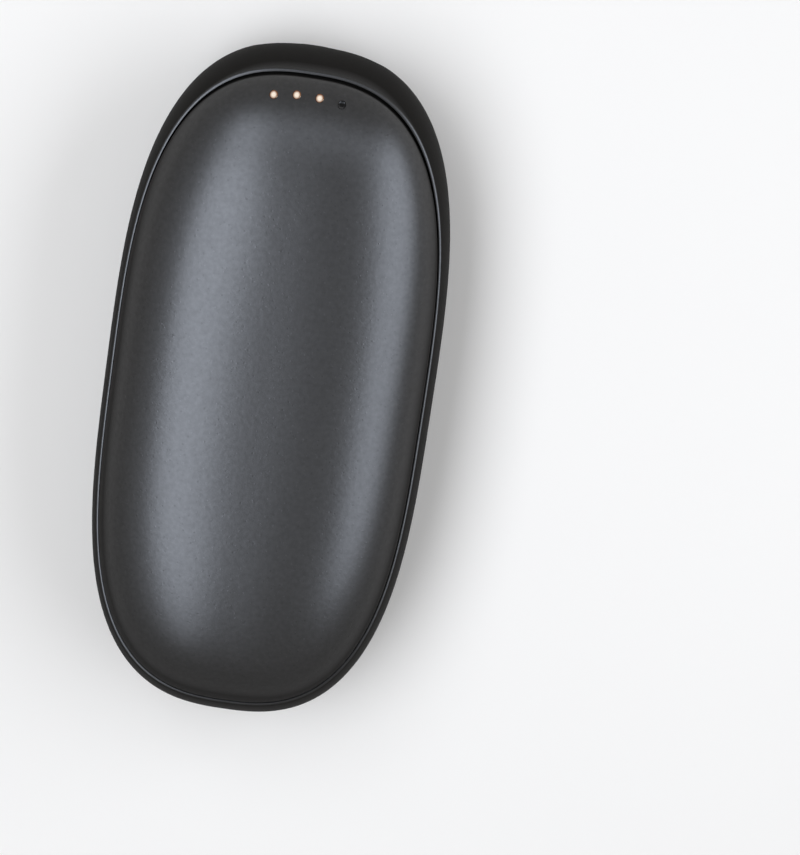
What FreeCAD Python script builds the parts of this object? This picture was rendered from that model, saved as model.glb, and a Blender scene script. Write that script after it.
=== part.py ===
import FreeCAD, Part
import math
import os

import Sketcher
from FreeCAD import Placement, Rotation, Vector

# Pebble-shaped rechargeable hand warmer, lying on its back, in millimetres.
# +Z is the front face's normal, +Y the long axis towards the indicator lights, X the width.
# The origin is the middle of the flat back, on the surface that the object rests on.

# Driving dimensions, all of them lengths.
LENGTHS = {
    # Housing
    "body_length": 104.0,
    "body_width": 50.0,
    "crown_height": 28.0,
    "girth_height": 9.4,
    "back_flat": 0.4,
    "wall": 1.6,
    "seam_gap": 0.5,
    "lip_chamfer": 0.35,
    "front_edge": 0.25,
    "tongue_inset": 0.85,
    "tongue_height": 1.2,
    "tongue_clear": 0.1,
    "tongue_relief_width": 15.0,
    "tongue_relief_depth": 7.0,
    "seat_clear": 0.1,
    "overrun": 1.0,
    "section_step": 4.0,
    # Snap tabs that hold the front shell down
    "tab_end": 34.0,
    "tab_width": 7.0,
    "tab_reach": 3.5,
    "tab_thickness": 1.3,
    "tab_clear": 0.15,
    "tab_bite": 0.5,
    "nib_height": 1.2,
    "nib_reach": 0.6,
    "nib_clear": 0.2,
    # Thick end wall behind the socket and the button
    "panel_set_back": 3.0,
    "panel_side": 11.5,
    "panel_low": 3.0,
    "panel_high": 12.6,
    "block_inset": 0.5,
    # Indicator lights
    "indicator_end": 6.7,
    "indicator_arc": 26.0,
    "indicator_pitch": 3.36,
    "guide_diameter": 1.1,
    "guide_clear": 0.06,
    "guide_sink": 0.05,
    "guide_bar_depth": 2.4,
    "guide_bar_drop": 2.6,
    "guide_bar_margin": 1.6,
    "led_length": 1.6,
    "led_width": 0.8,
    "led_height": 0.55,
    "led_clear": 0.2,
    # Heating layers under both shells
    "layer_clear": 0.05,
    "spreader_thickness": 0.5,
    "film_thickness": 0.25,
    "foam_thickness": 0.9,
    "spreader_side": 9.5,
    "layer_gap": 0.3,
    "film_margin": 1.5,
    "foam_end": 6.0,
    "layer_depth": 7.5,
    # Cells
    "cell_stack": 9.8,
    "cell_side_room": 6.8,
    "cell_end_room": 39.0,
    "cell_back_room": 18.0,
    "cell_drop": 0.8,
    "cell_cap": 1.2,
    "cell_cap_diameter": 8.0,
    "cell_bevel": 0.5,
    "cell_shoulder": 1.2,
    "cell_groove": 0.6,
    "cell_groove_place": 3.4,
    "sleeve_thickness": 0.1,
    "sleeve_clear": 0.02,
    "cell_gap": 0.5,
    "ring_thickness": 0.25,
    "ring_clear": 0.3,
    # Cell cradle
    "yoke_thickness": 2.5,
    "yoke_inset": 1.0,
    "yoke_front_inset": 1.3,
    "cradle_clear": 0.15,
    "spine_width": 3.2,
    "spine_height": 2.9,
    "spine_floor": 4.4,
    "lead_window_width": 8.4,
    "lead_window_height": 4.0,
    # Nickel strips
    "strip_thickness": 0.15,
    "strip_height": 7.0,
    "strip_end": 3.0,
    "strip_tab_width": 5.0,
    "strip_tab_height": 7.5,
    # Main board
    "board_thickness": 1.2,
    "board_gap": 1.2,
    "board_clear": 0.2,
    "board_edge_clear": 0.35,
    "post_diameter": 5.2,
    "post_place_x": 14.3,
    "post_set": 4.6,
    "pilot_diameter": 1.6,
    "pilot_depth": 6.0,
    "screw_hole_clear": 0.2,
    "screw_diameter": 1.9,
    "screw_length": 5.0,
    "screw_point": 0.8,
    "screw_head_diameter": 3.8,
    "screw_head_height": 1.4,
    "screw_recess": 0.7,
    "screw_recess_diameter": 1.5,
    # Charging socket
    "socket_place": 5.5,
    "socket_width": 8.94,
    "socket_height": 3.2,
    "socket_length": 7.3,
    "socket_skin": 0.3,
    "socket_set_back": 1.9,
    "socket_clear": 0.2,
    "socket_floor": 1.2,
    "socket_tongue_width": 6.7,
    "socket_tongue_height": 0.7,
    "socket_tongue_set_back": 0.6,
    "contact_width": 0.25,
    "contact_pitch": 0.9,
    "contact_height": 0.08,
    "contact_length": 3.4,
    "contact_set_back": 0.5,
    # Power button and its switch
    "button_place": -6.0,
    "button_width": 7.0,
    "button_height": 3.6,
    "button_sink": 0.05,
    "button_clear": 0.15,
    "flange_thickness": 0.7,
    "flange_margin": 0.7,
    "flange_clear": 0.08,
    "switch_width": 6.0,
    "switch_height": 3.4,
    "switch_depth": 3.5,
    "plunger_diameter": 2.0,
    "plunger_length": 1.2,
    "plunger_seat": 0.5,
    "plunger_clear": 0.1,
    "press_travel": 0.5,
    "press_spare": 0.15,
    # Leads and sensors
    "power_lead": 1.6,
    "heater_lead": 0.9,
    "sensor_lead": 0.5,
    "lead_clear": 0.1,
    "lead_bend": 1.7,
    "front_lead_place": 2.4,
    "rear_lead_place": 3.2,
    "sensor_lead_place": 0.65,
    "positive_lead_place": 6.0,
    "positive_lead_rise": 2.0,
    "lead_lap": 3.0,
    "lead_drop": 2.0,
    "power_landing": 0.95,
    "heater_landing": 2.4,
    "sensor_landing": 3.6,
    "bead_diameter": 1.6,
    "bead_length": 3.0,
    "bead_margin": 2.2,
    "fuse_diameter": 3.4,
    "fuse_length": 11.0,
    "fuse_set": 26.0,
    "fuse_rise": 6.0,
    "fuse_cone": 1.0,
    # Board components: sizes, then places
    "controller_size": 4.4,
    "controller_height": 0.9,
    "charger_size": 4.0,
    "protection_length": 3.0,
    "protection_width": 1.7,
    "mosfet_length": 3.2,
    "mosfet_width": 2.6,
    "mosfet_height": 1.1,
    "mosfet_pitch": 3.6,
    "inductor_size": 6.0,
    "inductor_height": 2.8,
    "inductor_corner": 1.0,
    "chip_length": 1.6,
    "chip_width": 0.8,
    "capacitor_height": 0.8,
    "resistor_height": 0.5,
    "chip_pitch": 1.7,
    "controller_x": 1.6,
    "controller_set": 9.2,
    "charger_x": -11.0,
    "charger_set": 8.8,
    "protection_x": -10.4,
    "protection_set": 2.4,
    "mosfet_x": -6.2,
    "mosfet_set": 5.2,
    "inductor_x": 9.6,
    "inductor_set": 8.4,
    "capacitor_x": -3.4,
    "capacitor_set": 5.4,
    "resistor_x": 3.5,
    "resistor_set": 3.2,
}

# Where the seam lies between the girth and the crown, and how far the snap tabs reach to the crown.
SEAM_SHARE = 0.516
TAB_SHARE = 0.333

# Lengths that the sheet works out from those above.
FORMULAS = {
    "half_width": "=body_width / 2",
    "half_length": "=body_length / 2",
    "seam_height": f"=girth_height + (crown_height - girth_height) * {SEAM_SHARE}",
    "tab_rise": f"=(crown_height - seam_height) * {TAB_SHARE}",
    "tab_place": "=half_length - tab_end",
    "panel_width": "=body_width - 2 * panel_side",
    "indicator_place": "=half_length - indicator_end",
    "spreader_width": "=body_width - 2 * spreader_side",
    "film_width": "=spreader_width - 2 * film_margin",
    "foam_width": "=film_width - 2 * film_margin",
    "cell_diameter": "=min(crown_height - cell_stack; half_width - cell_side_room)",
    "cell_length": "=body_length - cell_end_room",
    "cell_back": "=half_length - cell_back_room",
    "cell_height": "=crown_height / 2 - cell_drop",
    "board_low": "=girth_height",
    "board_back": "=cell_length - cell_back + board_gap",
    "post_place_y": "=board_back + post_set",
    "fuse_back": "=cell_back - fuse_set",
}

# Superellipse powers of the outline and of the four profiles: bigger is squarer.
OUTLINE_SIDE_POWER = 2.62
OUTLINE_END_POWER = 3.22
FRONT_ACROSS_POWERS = (3.03, 2.59)
FRONT_ALONG_POWERS = (1.78, 5.2)
BACK_ACROSS_POWERS = (3.4, 3.4)
BACK_ALONG_POWERS = (3.2, 3.4)

# Counts and shares
OUTLINE_POINTS = 40
FINE_STEPS = 1000
LEAST_SECTIONS = 4
CROWN_SHARE = 0.9997
BEND_ROOM_SHARE = 0.45
BEAD_LEAD_SHARE = 0.75
INDICATORS = 4
CHIPS_IN_ROW = 5
CONTACTS_IN_ROW = 6


class Size:
    """A length that carries its value and the formula that binds it to the sheet."""

    def __init__(self, value, text):
        self.value = float(value)
        self.text = text

    @staticmethod
    def of(other):
        return other if isinstance(other, Size) else Size(other, repr(other))

    def __add__(self, other):
        other = Size.of(other)
        return Size(self.value + other.value, f"({self.text} + {other.text})")

    def __sub__(self, other):
        other = Size.of(other)
        return Size(self.value - other.value, f"({self.text} - {other.text})")

    def __rsub__(self, other):
        return Size.of(other) - self

    def __mul__(self, factor):
        return Size(self.value * factor, f"({self.text} * {factor!r})")

    def __truediv__(self, divisor):
        return Size(self.value / divisor, f"({self.text} / {divisor!r})")

    def __neg__(self):
        return Size(-self.value, f"(-1 * {self.text})")

    __radd__ = __add__
    __rmul__ = __mul__


class Sizes:
    """The sheet's lengths as attributes."""

    def __init__(self, sheet):
        rows = {**LENGTHS, **FORMULAS}
        for row, (name, content) in enumerate(rows.items(), start=1):
            sheet.set(f"A{row}", name)
            sheet.set(f"B{row}", str(content))
            sheet.setAlias(f"B{row}", name)
        sheet.recompute()
        for name in rows:
            setattr(self, name, Size(sheet.get(name), f"{sheet.Name}.{name}"))


doc = FreeCAD.newDocument("hand_warmer")
s = Sizes(doc.addObject("Spreadsheet::Sheet", "sizes"))

ZERO = Size(0, "0")
Y_UP = Rotation(Vector(1, 0, 0), -90)

# Levels and lines that several pieces share
lip_top = s.seam_height - s.seam_gap / 2
front_bottom = s.seam_height + s.seam_gap / 2
tongue_top = s.seam_height + s.tongue_height
panel_back = s.half_length - s.panel_set_back
board_top = s.board_low + s.board_thickness
cell_side = (s.cell_diameter + s.cell_gap) / 2 + s.sleeve_thickness + s.sleeve_clear
sleeve_radius = s.cell_diameter / 2 + s.sleeve_thickness + s.sleeve_clear
cell_front = s.cell_length - s.cell_back
can_length = s.cell_length - s.cell_cap
yoke_back = -s.cell_back + s.yoke_inset
yoke_front = cell_front - s.cell_cap - s.yoke_front_inset
layer_y = (yoke_back + s.yoke_thickness + s.layer_gap, yoke_front - s.yoke_thickness - s.layer_gap)
film_y = (layer_y[0] + s.film_margin, layer_y[1] - s.film_margin)
fuse_height = s.cell_height + s.fuse_rise
spreader_inset = s.wall + s.layer_clear
film_inset = spreader_inset + s.spreader_thickness + s.layer_clear
foam_inset = film_inset + s.film_thickness + s.layer_clear
film_face = film_inset + s.film_thickness
socket_front = s.half_length - s.socket_set_back
socket_middle = s.board_low - s.socket_height / 2
button_middle = s.board_low - s.switch_height / 2
flange_front = panel_back - s.flange_clear
flange_back = flange_front - s.flange_thickness
switch_front = flange_back - s.plunger_length
board_front = flange_back - s.press_travel - s.board_clear


def bind(obj, **lengths):
    """Tie an object's properties to the sheet; a double underscore stands for a dot."""
    for name, length in lengths.items():
        obj.setExpression(name.replace("__", "."), Size.of(length).text)
    return obj


def place(obj, x, y, z, turn=None):
    """Set an object's turn and tie its position to the sheet."""
    obj.Placement = Placement(Vector(), turn or Rotation())
    return bind(obj, Placement__Base__x=x, Placement__Base__y=y, Placement__Base__z=z)


def feature(name, shape):
    """A solid made by formula."""
    obj = doc.addObject("Part::Feature", name)
    obj.Shape = shape
    return obj


def box(name, x, y, z):
    """A box between pairs of faces."""
    obj = doc.addObject("Part::Box", name)
    bind(obj, Length=x[1] - x[0], Width=y[1] - y[0], Height=z[1] - z[0])
    return place(obj, x[0], y[0], z[0])


def rod(name, x, y, z, diameter, length, turn=None):
    """A round rod that starts at a point and runs up, or along +Y when turned so."""
    obj = doc.addObject("Part::Cylinder", name)
    bind(obj, Radius=diameter / 2, Height=length)
    return place(obj, x, y, z, turn)


def cut(name, base, tool):
    """The base without the tool."""
    obj = doc.addObject("Part::Cut", name)
    obj.Base = base
    obj.Tool = tool
    return obj


def common(name, first, second):
    """What two solids share."""
    obj = doc.addObject("Part::Common", name)
    obj.Base = first
    obj.Tool = second
    return obj


def fuse(name, pieces):
    """One solid from pieces that run into each other."""
    obj = doc.addObject("Part::MultiFuse", name)
    obj.Shapes = pieces
    return obj


def group(name, pieces):
    """Separate solids in one node."""
    obj = doc.addObject("Part::Compound", name)
    obj.Links = pieces
    return obj


def obround(name, x, z, width, height, y):
    """A slot-shaped bar along Y, round at both ends of its width."""
    reach = (width - height) / 2
    middle = box(f"{name}_middle", (x - reach, x + reach), y, (z - height / 2, z + height / 2))
    ends = [
        rod(f"{name}_end_{side}", x + side * reach, y[0], z, height, y[1] - y[0], Y_UP)
        for side in (-1, 1)
    ]
    return fuse(name, [middle, *ends])


# The pebble form


def half_axes(level, inset):
    """Half width and half length of the pebble's outline at a level, drawn in by an inset."""
    above = level >= s.girth_height.value
    reach = s.crown_height - s.girth_height if above else s.girth_height + s.back_flat
    across = FRONT_ACROSS_POWERS if above else BACK_ACROSS_POWERS
    along = FRONT_ALONG_POWERS if above else BACK_ALONG_POWERS
    rise = min(abs(level - s.girth_height.value) / (reach.value - inset), 1.0)
    width = (s.half_width.value - inset) * (1 - rise ** across[0]) ** (1 / across[1])
    length = (s.half_length.value - inset) * (1 - rise ** along[0]) ** (1 / along[1])
    return width, length


def running_length(points):
    """Length along a finely stepped line up to each of its points."""
    run = [0.0]
    for before, after in zip(points, points[1:]):
        run.append(run[-1] + math.dist(before, after))
    return run


def spread(run, count):
    """Indexes of points that are evenly spaced along a finely stepped line."""
    goals = [run[-1] * step / (count - 1) for step in range(count)]
    return [min(range(len(run)), key=lambda item: abs(run[item] - goal)) for goal in goals]


def outline_shares():
    """Points of the outline as shares of its half axes, evenly spaced round the girth."""
    side_share = 0.5 ** (1 / OUTLINE_SIDE_POWER)
    end_share = 0.5 ** (1 / OUTLINE_END_POWER)
    fine = []
    for step in range(FINE_STEPS):
        along = end_share * step / FINE_STEPS
        fine.append(((1 - along ** OUTLINE_END_POWER) ** (1 / OUTLINE_SIDE_POWER), along))
    for step in range(FINE_STEPS, -1, -1):
        across = side_share * step / FINE_STEPS
        fine.append((across, (1 - across ** OUTLINE_SIDE_POWER) ** (1 / OUTLINE_END_POWER)))
    sized = [(s.half_width.value * across, s.half_length.value * along) for across, along in fine]
    first = [fine[pick] for pick in spread(running_length(sized), OUTLINE_POINTS // 4 + 1)]
    second = [(-across, along) for across, along in reversed(first)]
    half_turn = first[:-1] + second[:-1]
    return half_turn + [(-across, -along) for across, along in half_turn]


SHARES = outline_shares()


def outline(level, inset):
    """The pebble's superellipse outline at a level, as one closed curve."""
    width, length = half_axes(level, inset)
    points = [Vector(width * across, length * along, level) for across, along in SHARES]
    curve = Part.BSplineCurve()
    steps = [float(step) for step in range(len(points) + 1)]
    curve.interpolate(points, PeriodicFlag=True, Parameters=steps)
    return curve


def skinned(curves, stations):
    """A solid with flat ends whose side runs through closed curves at the given stations."""
    columns = []
    for poles in zip(*(curve.getPoles() for curve in curves)):
        column = Part.BSplineCurve()
        column.interpolate(list(poles), Parameters=stations)
        columns.append(column)
    around, along = curves[0], columns[0]
    side = Part.BSplineSurface()
    side.buildFromPolesMultsKnots(
        [column.getPoles() for column in columns], around.getMultiplicities(), along.getMultiplicities(),
        around.getKnots(), along.getKnots(), True, False, around.Degree, along.Degree)
    ends = [Part.Face(Part.Wire(curve.toShape())) for curve in (curves[0], curves[-1])]
    shell = Part.Shell([side.toShape(), *ends])
    shell.sewShape()
    return Part.Solid(shell)


def pebble(name, inset, low=None, high=None):
    """The pebble drawn in by an inset, between two levels or out to its crown and back."""
    inset = Size.of(inset).value
    girth = s.girth_height.value
    top_reach = (s.crown_height - s.girth_height).value - inset
    back_reach = (s.girth_height + s.back_flat).value - inset
    high = girth + CROWN_SHARE * top_reach if high is None else Size.of(high).value
    low = girth - CROWN_SHARE * back_reach if low is None else Size.of(low).value
    first, last = (
        math.asin((level - girth) / (top_reach if level > girth else back_reach)) for level in (low, high))
    turns = [first + (last - first) * step / FINE_STEPS for step in range(FINE_STEPS + 1)]
    levels = [girth + math.sin(turn) * (top_reach if turn > 0 else back_reach) for turn in turns]
    levels[0], levels[-1] = low, high
    profile = [(*half_axes(level, inset), level) for level in levels]
    run = running_length(profile)
    picks = spread(run, max(LEAST_SECTIONS, math.ceil(run[-1] / s.section_step.value)))
    curves = [outline(levels[pick], inset) for pick in picks]
    return feature(name, skinned(curves, [run[pick] for pick in picks]))


def bevel_ring(name, low, low_inset, high, high_inset):
    """A straight-sided slice between two outlines, for a bevelled edge."""
    curves = [
        outline(low.value, Size.of(low_inset).value),
        outline(high.value, Size.of(high_inset).value),
    ]
    return feature(name, skinned(curves, [low.value, high.value]))


def skin_height(x, y, inset, front=True):
    """Height of the drawn-in pebble's skin over a point, on the front or the back."""
    side = 1 if front else -1
    reach = (s.crown_height - s.girth_height if front else s.girth_height + s.back_flat).value - inset
    low, high = 0.0, reach
    while high - low > reach / 2 ** 30:
        middle = (low + high) / 2
        width, length = half_axes(s.girth_height.value + side * middle, inset)
        inside = abs(x / width) ** OUTLINE_SIDE_POWER + abs(y / length) ** OUTLINE_END_POWER < 1
        low, high = (middle, high) if inside else (low, middle)
    return s.girth_height.value + side * low


def indicator_places():
    """Centres of the indicator lights, on a shallow arc that follows the end of the pebble."""
    step = s.indicator_pitch.value / s.indicator_arc.value
    centre = s.indicator_place - s.indicator_arc
    places = []
    for number in range(INDICATORS):
        turn = step * (number - (INDICATORS - 1) / 2)
        places.append((s.indicator_arc * math.sin(turn), centre + s.indicator_arc * math.cos(turn)))
    return places


# Sketched pieces


def sketch_on(body, role, name, offset):
    """A sketch on one of a body's own planes, moved along the plane's normal."""
    plane = next(item for item in body.Origin.OriginFeatures if item.Role == role)
    sketch = body.newObject("Sketcher::SketchObject", name)
    sketch.AttachmentSupport = [(plane, "")]
    sketch.MapMode = "FlatFace"
    bind(sketch, AttachmentOffset__Base__z=offset)
    return sketch


def pin_point(sketch, geometry, end, x, y):
    """Tie one end of a sketched line to a place in the sketch."""
    for kind, length in (("DistanceX", x), ("DistanceY", y)):
        index = sketch.addConstraint(Sketcher.Constraint(kind, -1, 1, geometry, end, length.value))
        sketch.setExpression(f"Constraints[{index}]", length.text)


def draw_polygon(sketch, corners):
    """A closed outline of straight lines with every corner tied."""
    first = sketch.GeometryCount
    count = len(corners)
    for (x0, y0), (x1, y1) in zip(corners, corners[1:] + corners[:1]):
        start, end = Vector(x0.value, y0.value), Vector(x1.value, y1.value)
        sketch.addGeometry(Part.LineSegment(start, end), False)
    for step, (x, y) in enumerate(corners):
        following = first + (step - 1) % count
        sketch.addConstraint(Sketcher.Constraint("Coincident", first + step, 1, following, 2))
        pin_point(sketch, first + step, 1, x, y)


def draw_circle(sketch, x, y, diameter):
    """A circle tied at its centre and across its diameter."""
    circle = Part.Circle(Vector(x.value, y.value), Vector(0, 0, 1), diameter.value / 2)
    index = sketch.addGeometry(circle, False)
    pin_point(sketch, index, 3, x, y)
    size = sketch.addConstraint(Sketcher.Constraint("Diameter", index, diameter.value))
    sketch.setExpression(f"Constraints[{size}]", diameter.text)


def draw_slot(sketch, x, y, width, height):
    """A slot: two straight sides joined by half circles, tied at both centres."""
    reach = (width - height) / 2
    radius = height.value / 2
    right, left = (x + reach).value, (x - reach).value
    quarter = math.pi / 2
    axis = Vector(0, 0, 1)
    arcs = [
        sketch.addGeometry(Part.ArcOfCircle(
            Part.Circle(Vector(centre, y.value), axis, radius), turn - quarter, turn + quarter), False)
        for centre, turn in ((right, 0.0), (left, math.pi))
    ]
    top = sketch.addGeometry(Part.LineSegment(
        Vector(right, y.value + radius), Vector(left, y.value + radius)), False)
    bottom = sketch.addGeometry(Part.LineSegment(
        Vector(left, y.value - radius), Vector(right, y.value - radius)), False)
    joints = ((arcs[0], 2, top, 1), (top, 2, arcs[1], 1), (arcs[1], 2, bottom, 1), (bottom, 2, arcs[0], 1))
    for joint in joints:
        sketch.addConstraint(Sketcher.Constraint("Tangent", *joint))
    pin_point(sketch, arcs[0], 3, x + reach, y)
    pin_point(sketch, arcs[1], 3, x - reach, y)
    size = sketch.addConstraint(Sketcher.Constraint("Radius", arcs[0], radius))
    sketch.setExpression(f"Constraints[{size}]", (height / 2).text)


def new_body(name):
    """An empty body."""
    return doc.addObject("PartDesign::Body", name)


def pad_along_y(body, name, y, draw):
    """Pad what is drawn in X and Z between two places along Y."""
    sketch = sketch_on(body, "XZ_Plane", f"{name}_outline", -y[1])
    draw(sketch)
    pad = body.newObject("PartDesign::Pad", name)
    pad.Profile = sketch
    bind(pad, Length=y[1] - y[0])
    return pad


def pad_upwards(body, name, z, draw):
    """Pad what is drawn in X and Y between two levels."""
    sketch = sketch_on(body, "XY_Plane", f"{name}_outline", z[0])
    draw(sketch)
    pad = body.newObject("PartDesign::Pad", name)
    pad.Profile = sketch
    bind(pad, Length=z[1] - z[0])
    return pad


def rectangle(x, y):
    """Corners between pairs of sides."""
    return [(x[0], y[0]), (x[1], y[0]), (x[1], y[1]), (x[0], y[1])]


def turned(name, profile, x, y, z, turn=None):
    """A body turned about its own axis from corners given as radius and height."""
    body = new_body(name)
    sketch = sketch_on(body, "XZ_Plane", f"{name}_profile", ZERO)
    draw_polygon(sketch, profile)
    spin = body.newObject("PartDesign::Revolution", f"{name}_turn")
    spin.Profile = sketch
    spin.ReferenceAxis = (sketch, ["V_Axis"])
    spin.Angle = 360
    return place(body, x, y, z, turn)


def lead(points, diameter):
    """An insulated wire along straight runs joined by tangent arcs."""
    edges = []
    start = points[0]
    for before, corner, after in zip(points, points[1:], points[2:]):
        back, on = (before - corner).normalize(), (after - corner).normalize()
        half_turn = (math.pi - back.getAngle(on)) / 2
        room = BEND_ROOM_SHARE * min((before - corner).Length, (after - corner).Length)
        trim = min(s.lead_bend.value * math.tan(half_turn), room)
        radius = trim / math.tan(half_turn)
        middle_way = (back + on).normalize()
        arc_middle = corner + middle_way * (radius / math.cos(half_turn) - radius)
        arc_start, arc_end = corner + back * trim, corner + on * trim
        edges.append(Part.LineSegment(start, arc_start).toShape())
        edges.append(Part.Arc(arc_start, arc_middle, arc_end).toShape())
        start = arc_end
    edges.append(Part.LineSegment(start, points[-1]).toShape())
    path = Part.Wire(edges)
    ring = Part.Wire(Part.makeCircle(diameter / 2, points[0], points[1] - points[0]))
    return path.makePipeShell([ring], True, False)


# Housing


def front_shell():
    """The domed cover: hollow, rebated over the tongue, with light holes and snap tabs."""
    dome = pebble("front_dome", ZERO, front_bottom + s.front_edge)
    edge = bevel_ring("front_edge", front_bottom, s.front_edge, front_bottom + s.front_edge, ZERO)
    hollow = pebble("front_hollow", s.wall, front_bottom - s.overrun)
    rebate = pebble("front_rebate", s.tongue_inset - s.tongue_clear, front_bottom - s.overrun, tongue_top)
    holes = [
        rod(f"light_hole_{number}", x, y, s.girth_height, s.guide_diameter + 2 * s.guide_clear,
            s.crown_height - s.girth_height)
        for number, (x, y) in enumerate(indicator_places())
    ]
    form = fuse("front_form", [dome, edge])
    cover = cut("front_cover", form, fuse("front_cuts", [hollow, rebate, *holes]))
    return fuse("front_shell", [cover, *snap_tabs()])


def tab_boxes(name, z, spare):
    """Boxes over both sides of the housing at the two tab places."""
    half = s.tab_width / 2 + spare
    across = (-s.half_width, s.half_width)
    return [
        box(f"{name}_{side}", across, (side * s.tab_place - half, side * s.tab_place + half), z)
        for side in (-1, 1)
    ]


def snap_tabs():
    """Four thin tabs under the cover that follow the rear wall and end in an outward nib."""
    tab_low = s.seam_height - s.tab_reach
    tab_high = s.seam_height + s.tab_rise
    outside = s.wall + s.tab_clear
    inside = outside + s.tab_thickness
    core = pebble("tab_core", inside, tab_low - s.overrun, tab_high + s.overrun)
    spring = pebble("tab_spring", outside, tab_low, tab_high)
    root = pebble("tab_root", s.wall - s.tab_bite, tongue_top, tab_high)
    nib = pebble("tab_nib", s.wall - s.nib_reach, tab_low, tab_low + s.nib_height)
    layer = cut("tab_layer", fuse("tab_form", [spring, root, nib]), core)
    boxes = tab_boxes("tab_box", (tab_low, tab_high), ZERO)
    return [common(f"snap_tabs_{number}", layer, item) for number, item in enumerate(boxes)]


def snap_pockets():
    """Pockets in the rear wall that the nibs click into."""
    tab_low = s.seam_height - s.tab_reach
    z = (tab_low - s.nib_clear, tab_low + s.nib_height + s.nib_clear)
    depth = pebble("pocket_depth", s.wall - s.nib_reach - s.nib_clear, *z)
    boxes = tab_boxes("pocket_box", z, s.nib_clear)
    return [common(f"snap_pockets_{number}", depth, item) for number, item in enumerate(boxes)]


def rear_shell():
    """The tub: tongue round its rim, flat back, thick end wall with two openings, board posts."""
    tub = pebble("rear_tub", ZERO, ZERO, lip_top - s.lip_chamfer)
    lip = bevel_ring("rear_lip", lip_top - s.lip_chamfer, ZERO, lip_top, s.lip_chamfer)
    tongue = pebble("rear_tongue", s.tongue_inset, lip_top - s.overrun, tongue_top)
    hollow = pebble("rear_hollow", s.wall, None, tongue_top + s.overrun)
    relief = box(
        "tongue_relief", (-s.tongue_relief_width / 2, s.tongue_relief_width / 2),
        (s.indicator_place - s.tongue_relief_depth, s.half_length), (lip_top, tongue_top + s.overrun))
    rim = cut("rear_rim", fuse("rear_form", [tub, lip, cut("rear_tongue_cut", tongue, relief)]), hollow)

    inner_form = pebble("rear_inner_form", s.block_inset, None, lip_top - s.lip_chamfer)
    panel = box(
        "panel_block", (-s.panel_width / 2, s.panel_width / 2), (panel_back, s.half_length),
        (s.panel_low, s.panel_high))
    posts = [
        rod(f"board_post_{side}", side * s.post_place_x, s.post_place_y, ZERO, s.post_diameter, s.board_low)
        for side in (-1, 1)
    ]
    fittings = [
        common(f"rear_fitting_{number}", item, inner_form)
        for number, item in enumerate([panel, *posts])
    ]
    pilots = [
        rod(f"pilot_{side}", side * s.post_place_x, s.post_place_y, s.board_low - s.pilot_depth,
            s.pilot_diameter, s.pilot_depth + s.overrun)
        for side in (-1, 1)
    ]
    through = (socket_front - s.socket_length - s.overrun, s.half_length + s.overrun)
    socket_hole = obround(
        "socket_hole", s.socket_place, socket_middle, s.socket_width + 2 * s.socket_clear,
        s.socket_height + 2 * s.socket_clear, through)
    button_hole = obround(
        "button_hole", s.button_place, button_middle, s.button_width + 2 * s.button_clear,
        s.button_height + 2 * s.button_clear, through)
    pocket_margin = s.flange_margin + s.button_clear
    flange_pocket = obround(
        "flange_pocket", s.button_place, button_middle, s.button_width + 2 * pocket_margin,
        s.button_height + 2 * pocket_margin, (flange_back - s.press_travel - s.press_spare, panel_back))
    cuts = [socket_hole, button_hole, flange_pocket, *pilots, *snap_pockets()]
    return cut("rear_shell", fuse("rear_solid", [rim, *fittings]), fuse("rear_cuts", cuts))


def light_guide():
    """Four clear rods on one bar that carry light from the board to the front face."""
    places = indicator_places()
    low = board_top + s.led_height + s.led_clear
    rods = [
        rod(f"guide_rod_{number}", x, y, low, s.guide_diameter, s.crown_height - low)
        for number, (x, y) in enumerate(places)
    ]
    face = pebble("guide_face", s.guide_sink, low - s.overrun)
    tips = [common(f"guide_tip_{number}", item, face) for number, item in enumerate(rods)]
    ends = (places[0][0] - s.guide_bar_margin, places[-1][0] + s.guide_bar_margin)
    depth = (s.indicator_place - s.guide_bar_depth + s.guide_diameter, s.indicator_place + s.guide_diameter)
    bar = box("guide_bar", ends, depth, (s.seam_height - s.guide_bar_drop, s.crown_height))
    seat = pebble("guide_seat", s.wall + s.seat_clear, low - s.overrun)
    return fuse("light_guide", [common("guide_bar_seated", bar, seat), *tips])


# Heating layers


def layer(name, inset, thickness, width, y, front):
    """A thin sheet that follows the inside of a shell, trimmed to a rectangle."""
    ends = (s.girth_height, None) if front else (None, s.girth_height)
    outer = pebble(f"{name}_outer", inset, *ends)
    inner = pebble(f"{name}_inner", inset + thickness, *ends)
    sheet_form = cut(f"{name}_form", outer, inner)
    z = (s.crown_height - s.layer_depth, s.crown_height) if front else (ZERO, s.layer_depth)
    trim = box(f"{name}_trim", (-width / 2, width / 2), y, z)
    return common(name, sheet_form, trim)


def heating_layers(prefix, front):
    """Heat spreader, heater film and foam pad on one side."""
    foam_y = (film_y[0] + s.foam_end, film_y[1] - s.foam_end)
    sheets = [
        ("heat_spreader", spreader_inset, s.spreader_thickness, s.spreader_width, layer_y),
        ("heater_film", film_inset, s.film_thickness, s.film_width, film_y),
        ("foam_pad", foam_inset, s.foam_thickness, s.foam_width, foam_y),
    ]
    return [layer(f"{prefix}_{name}", *form, front) for name, *form in sheets]


# Cells


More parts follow.
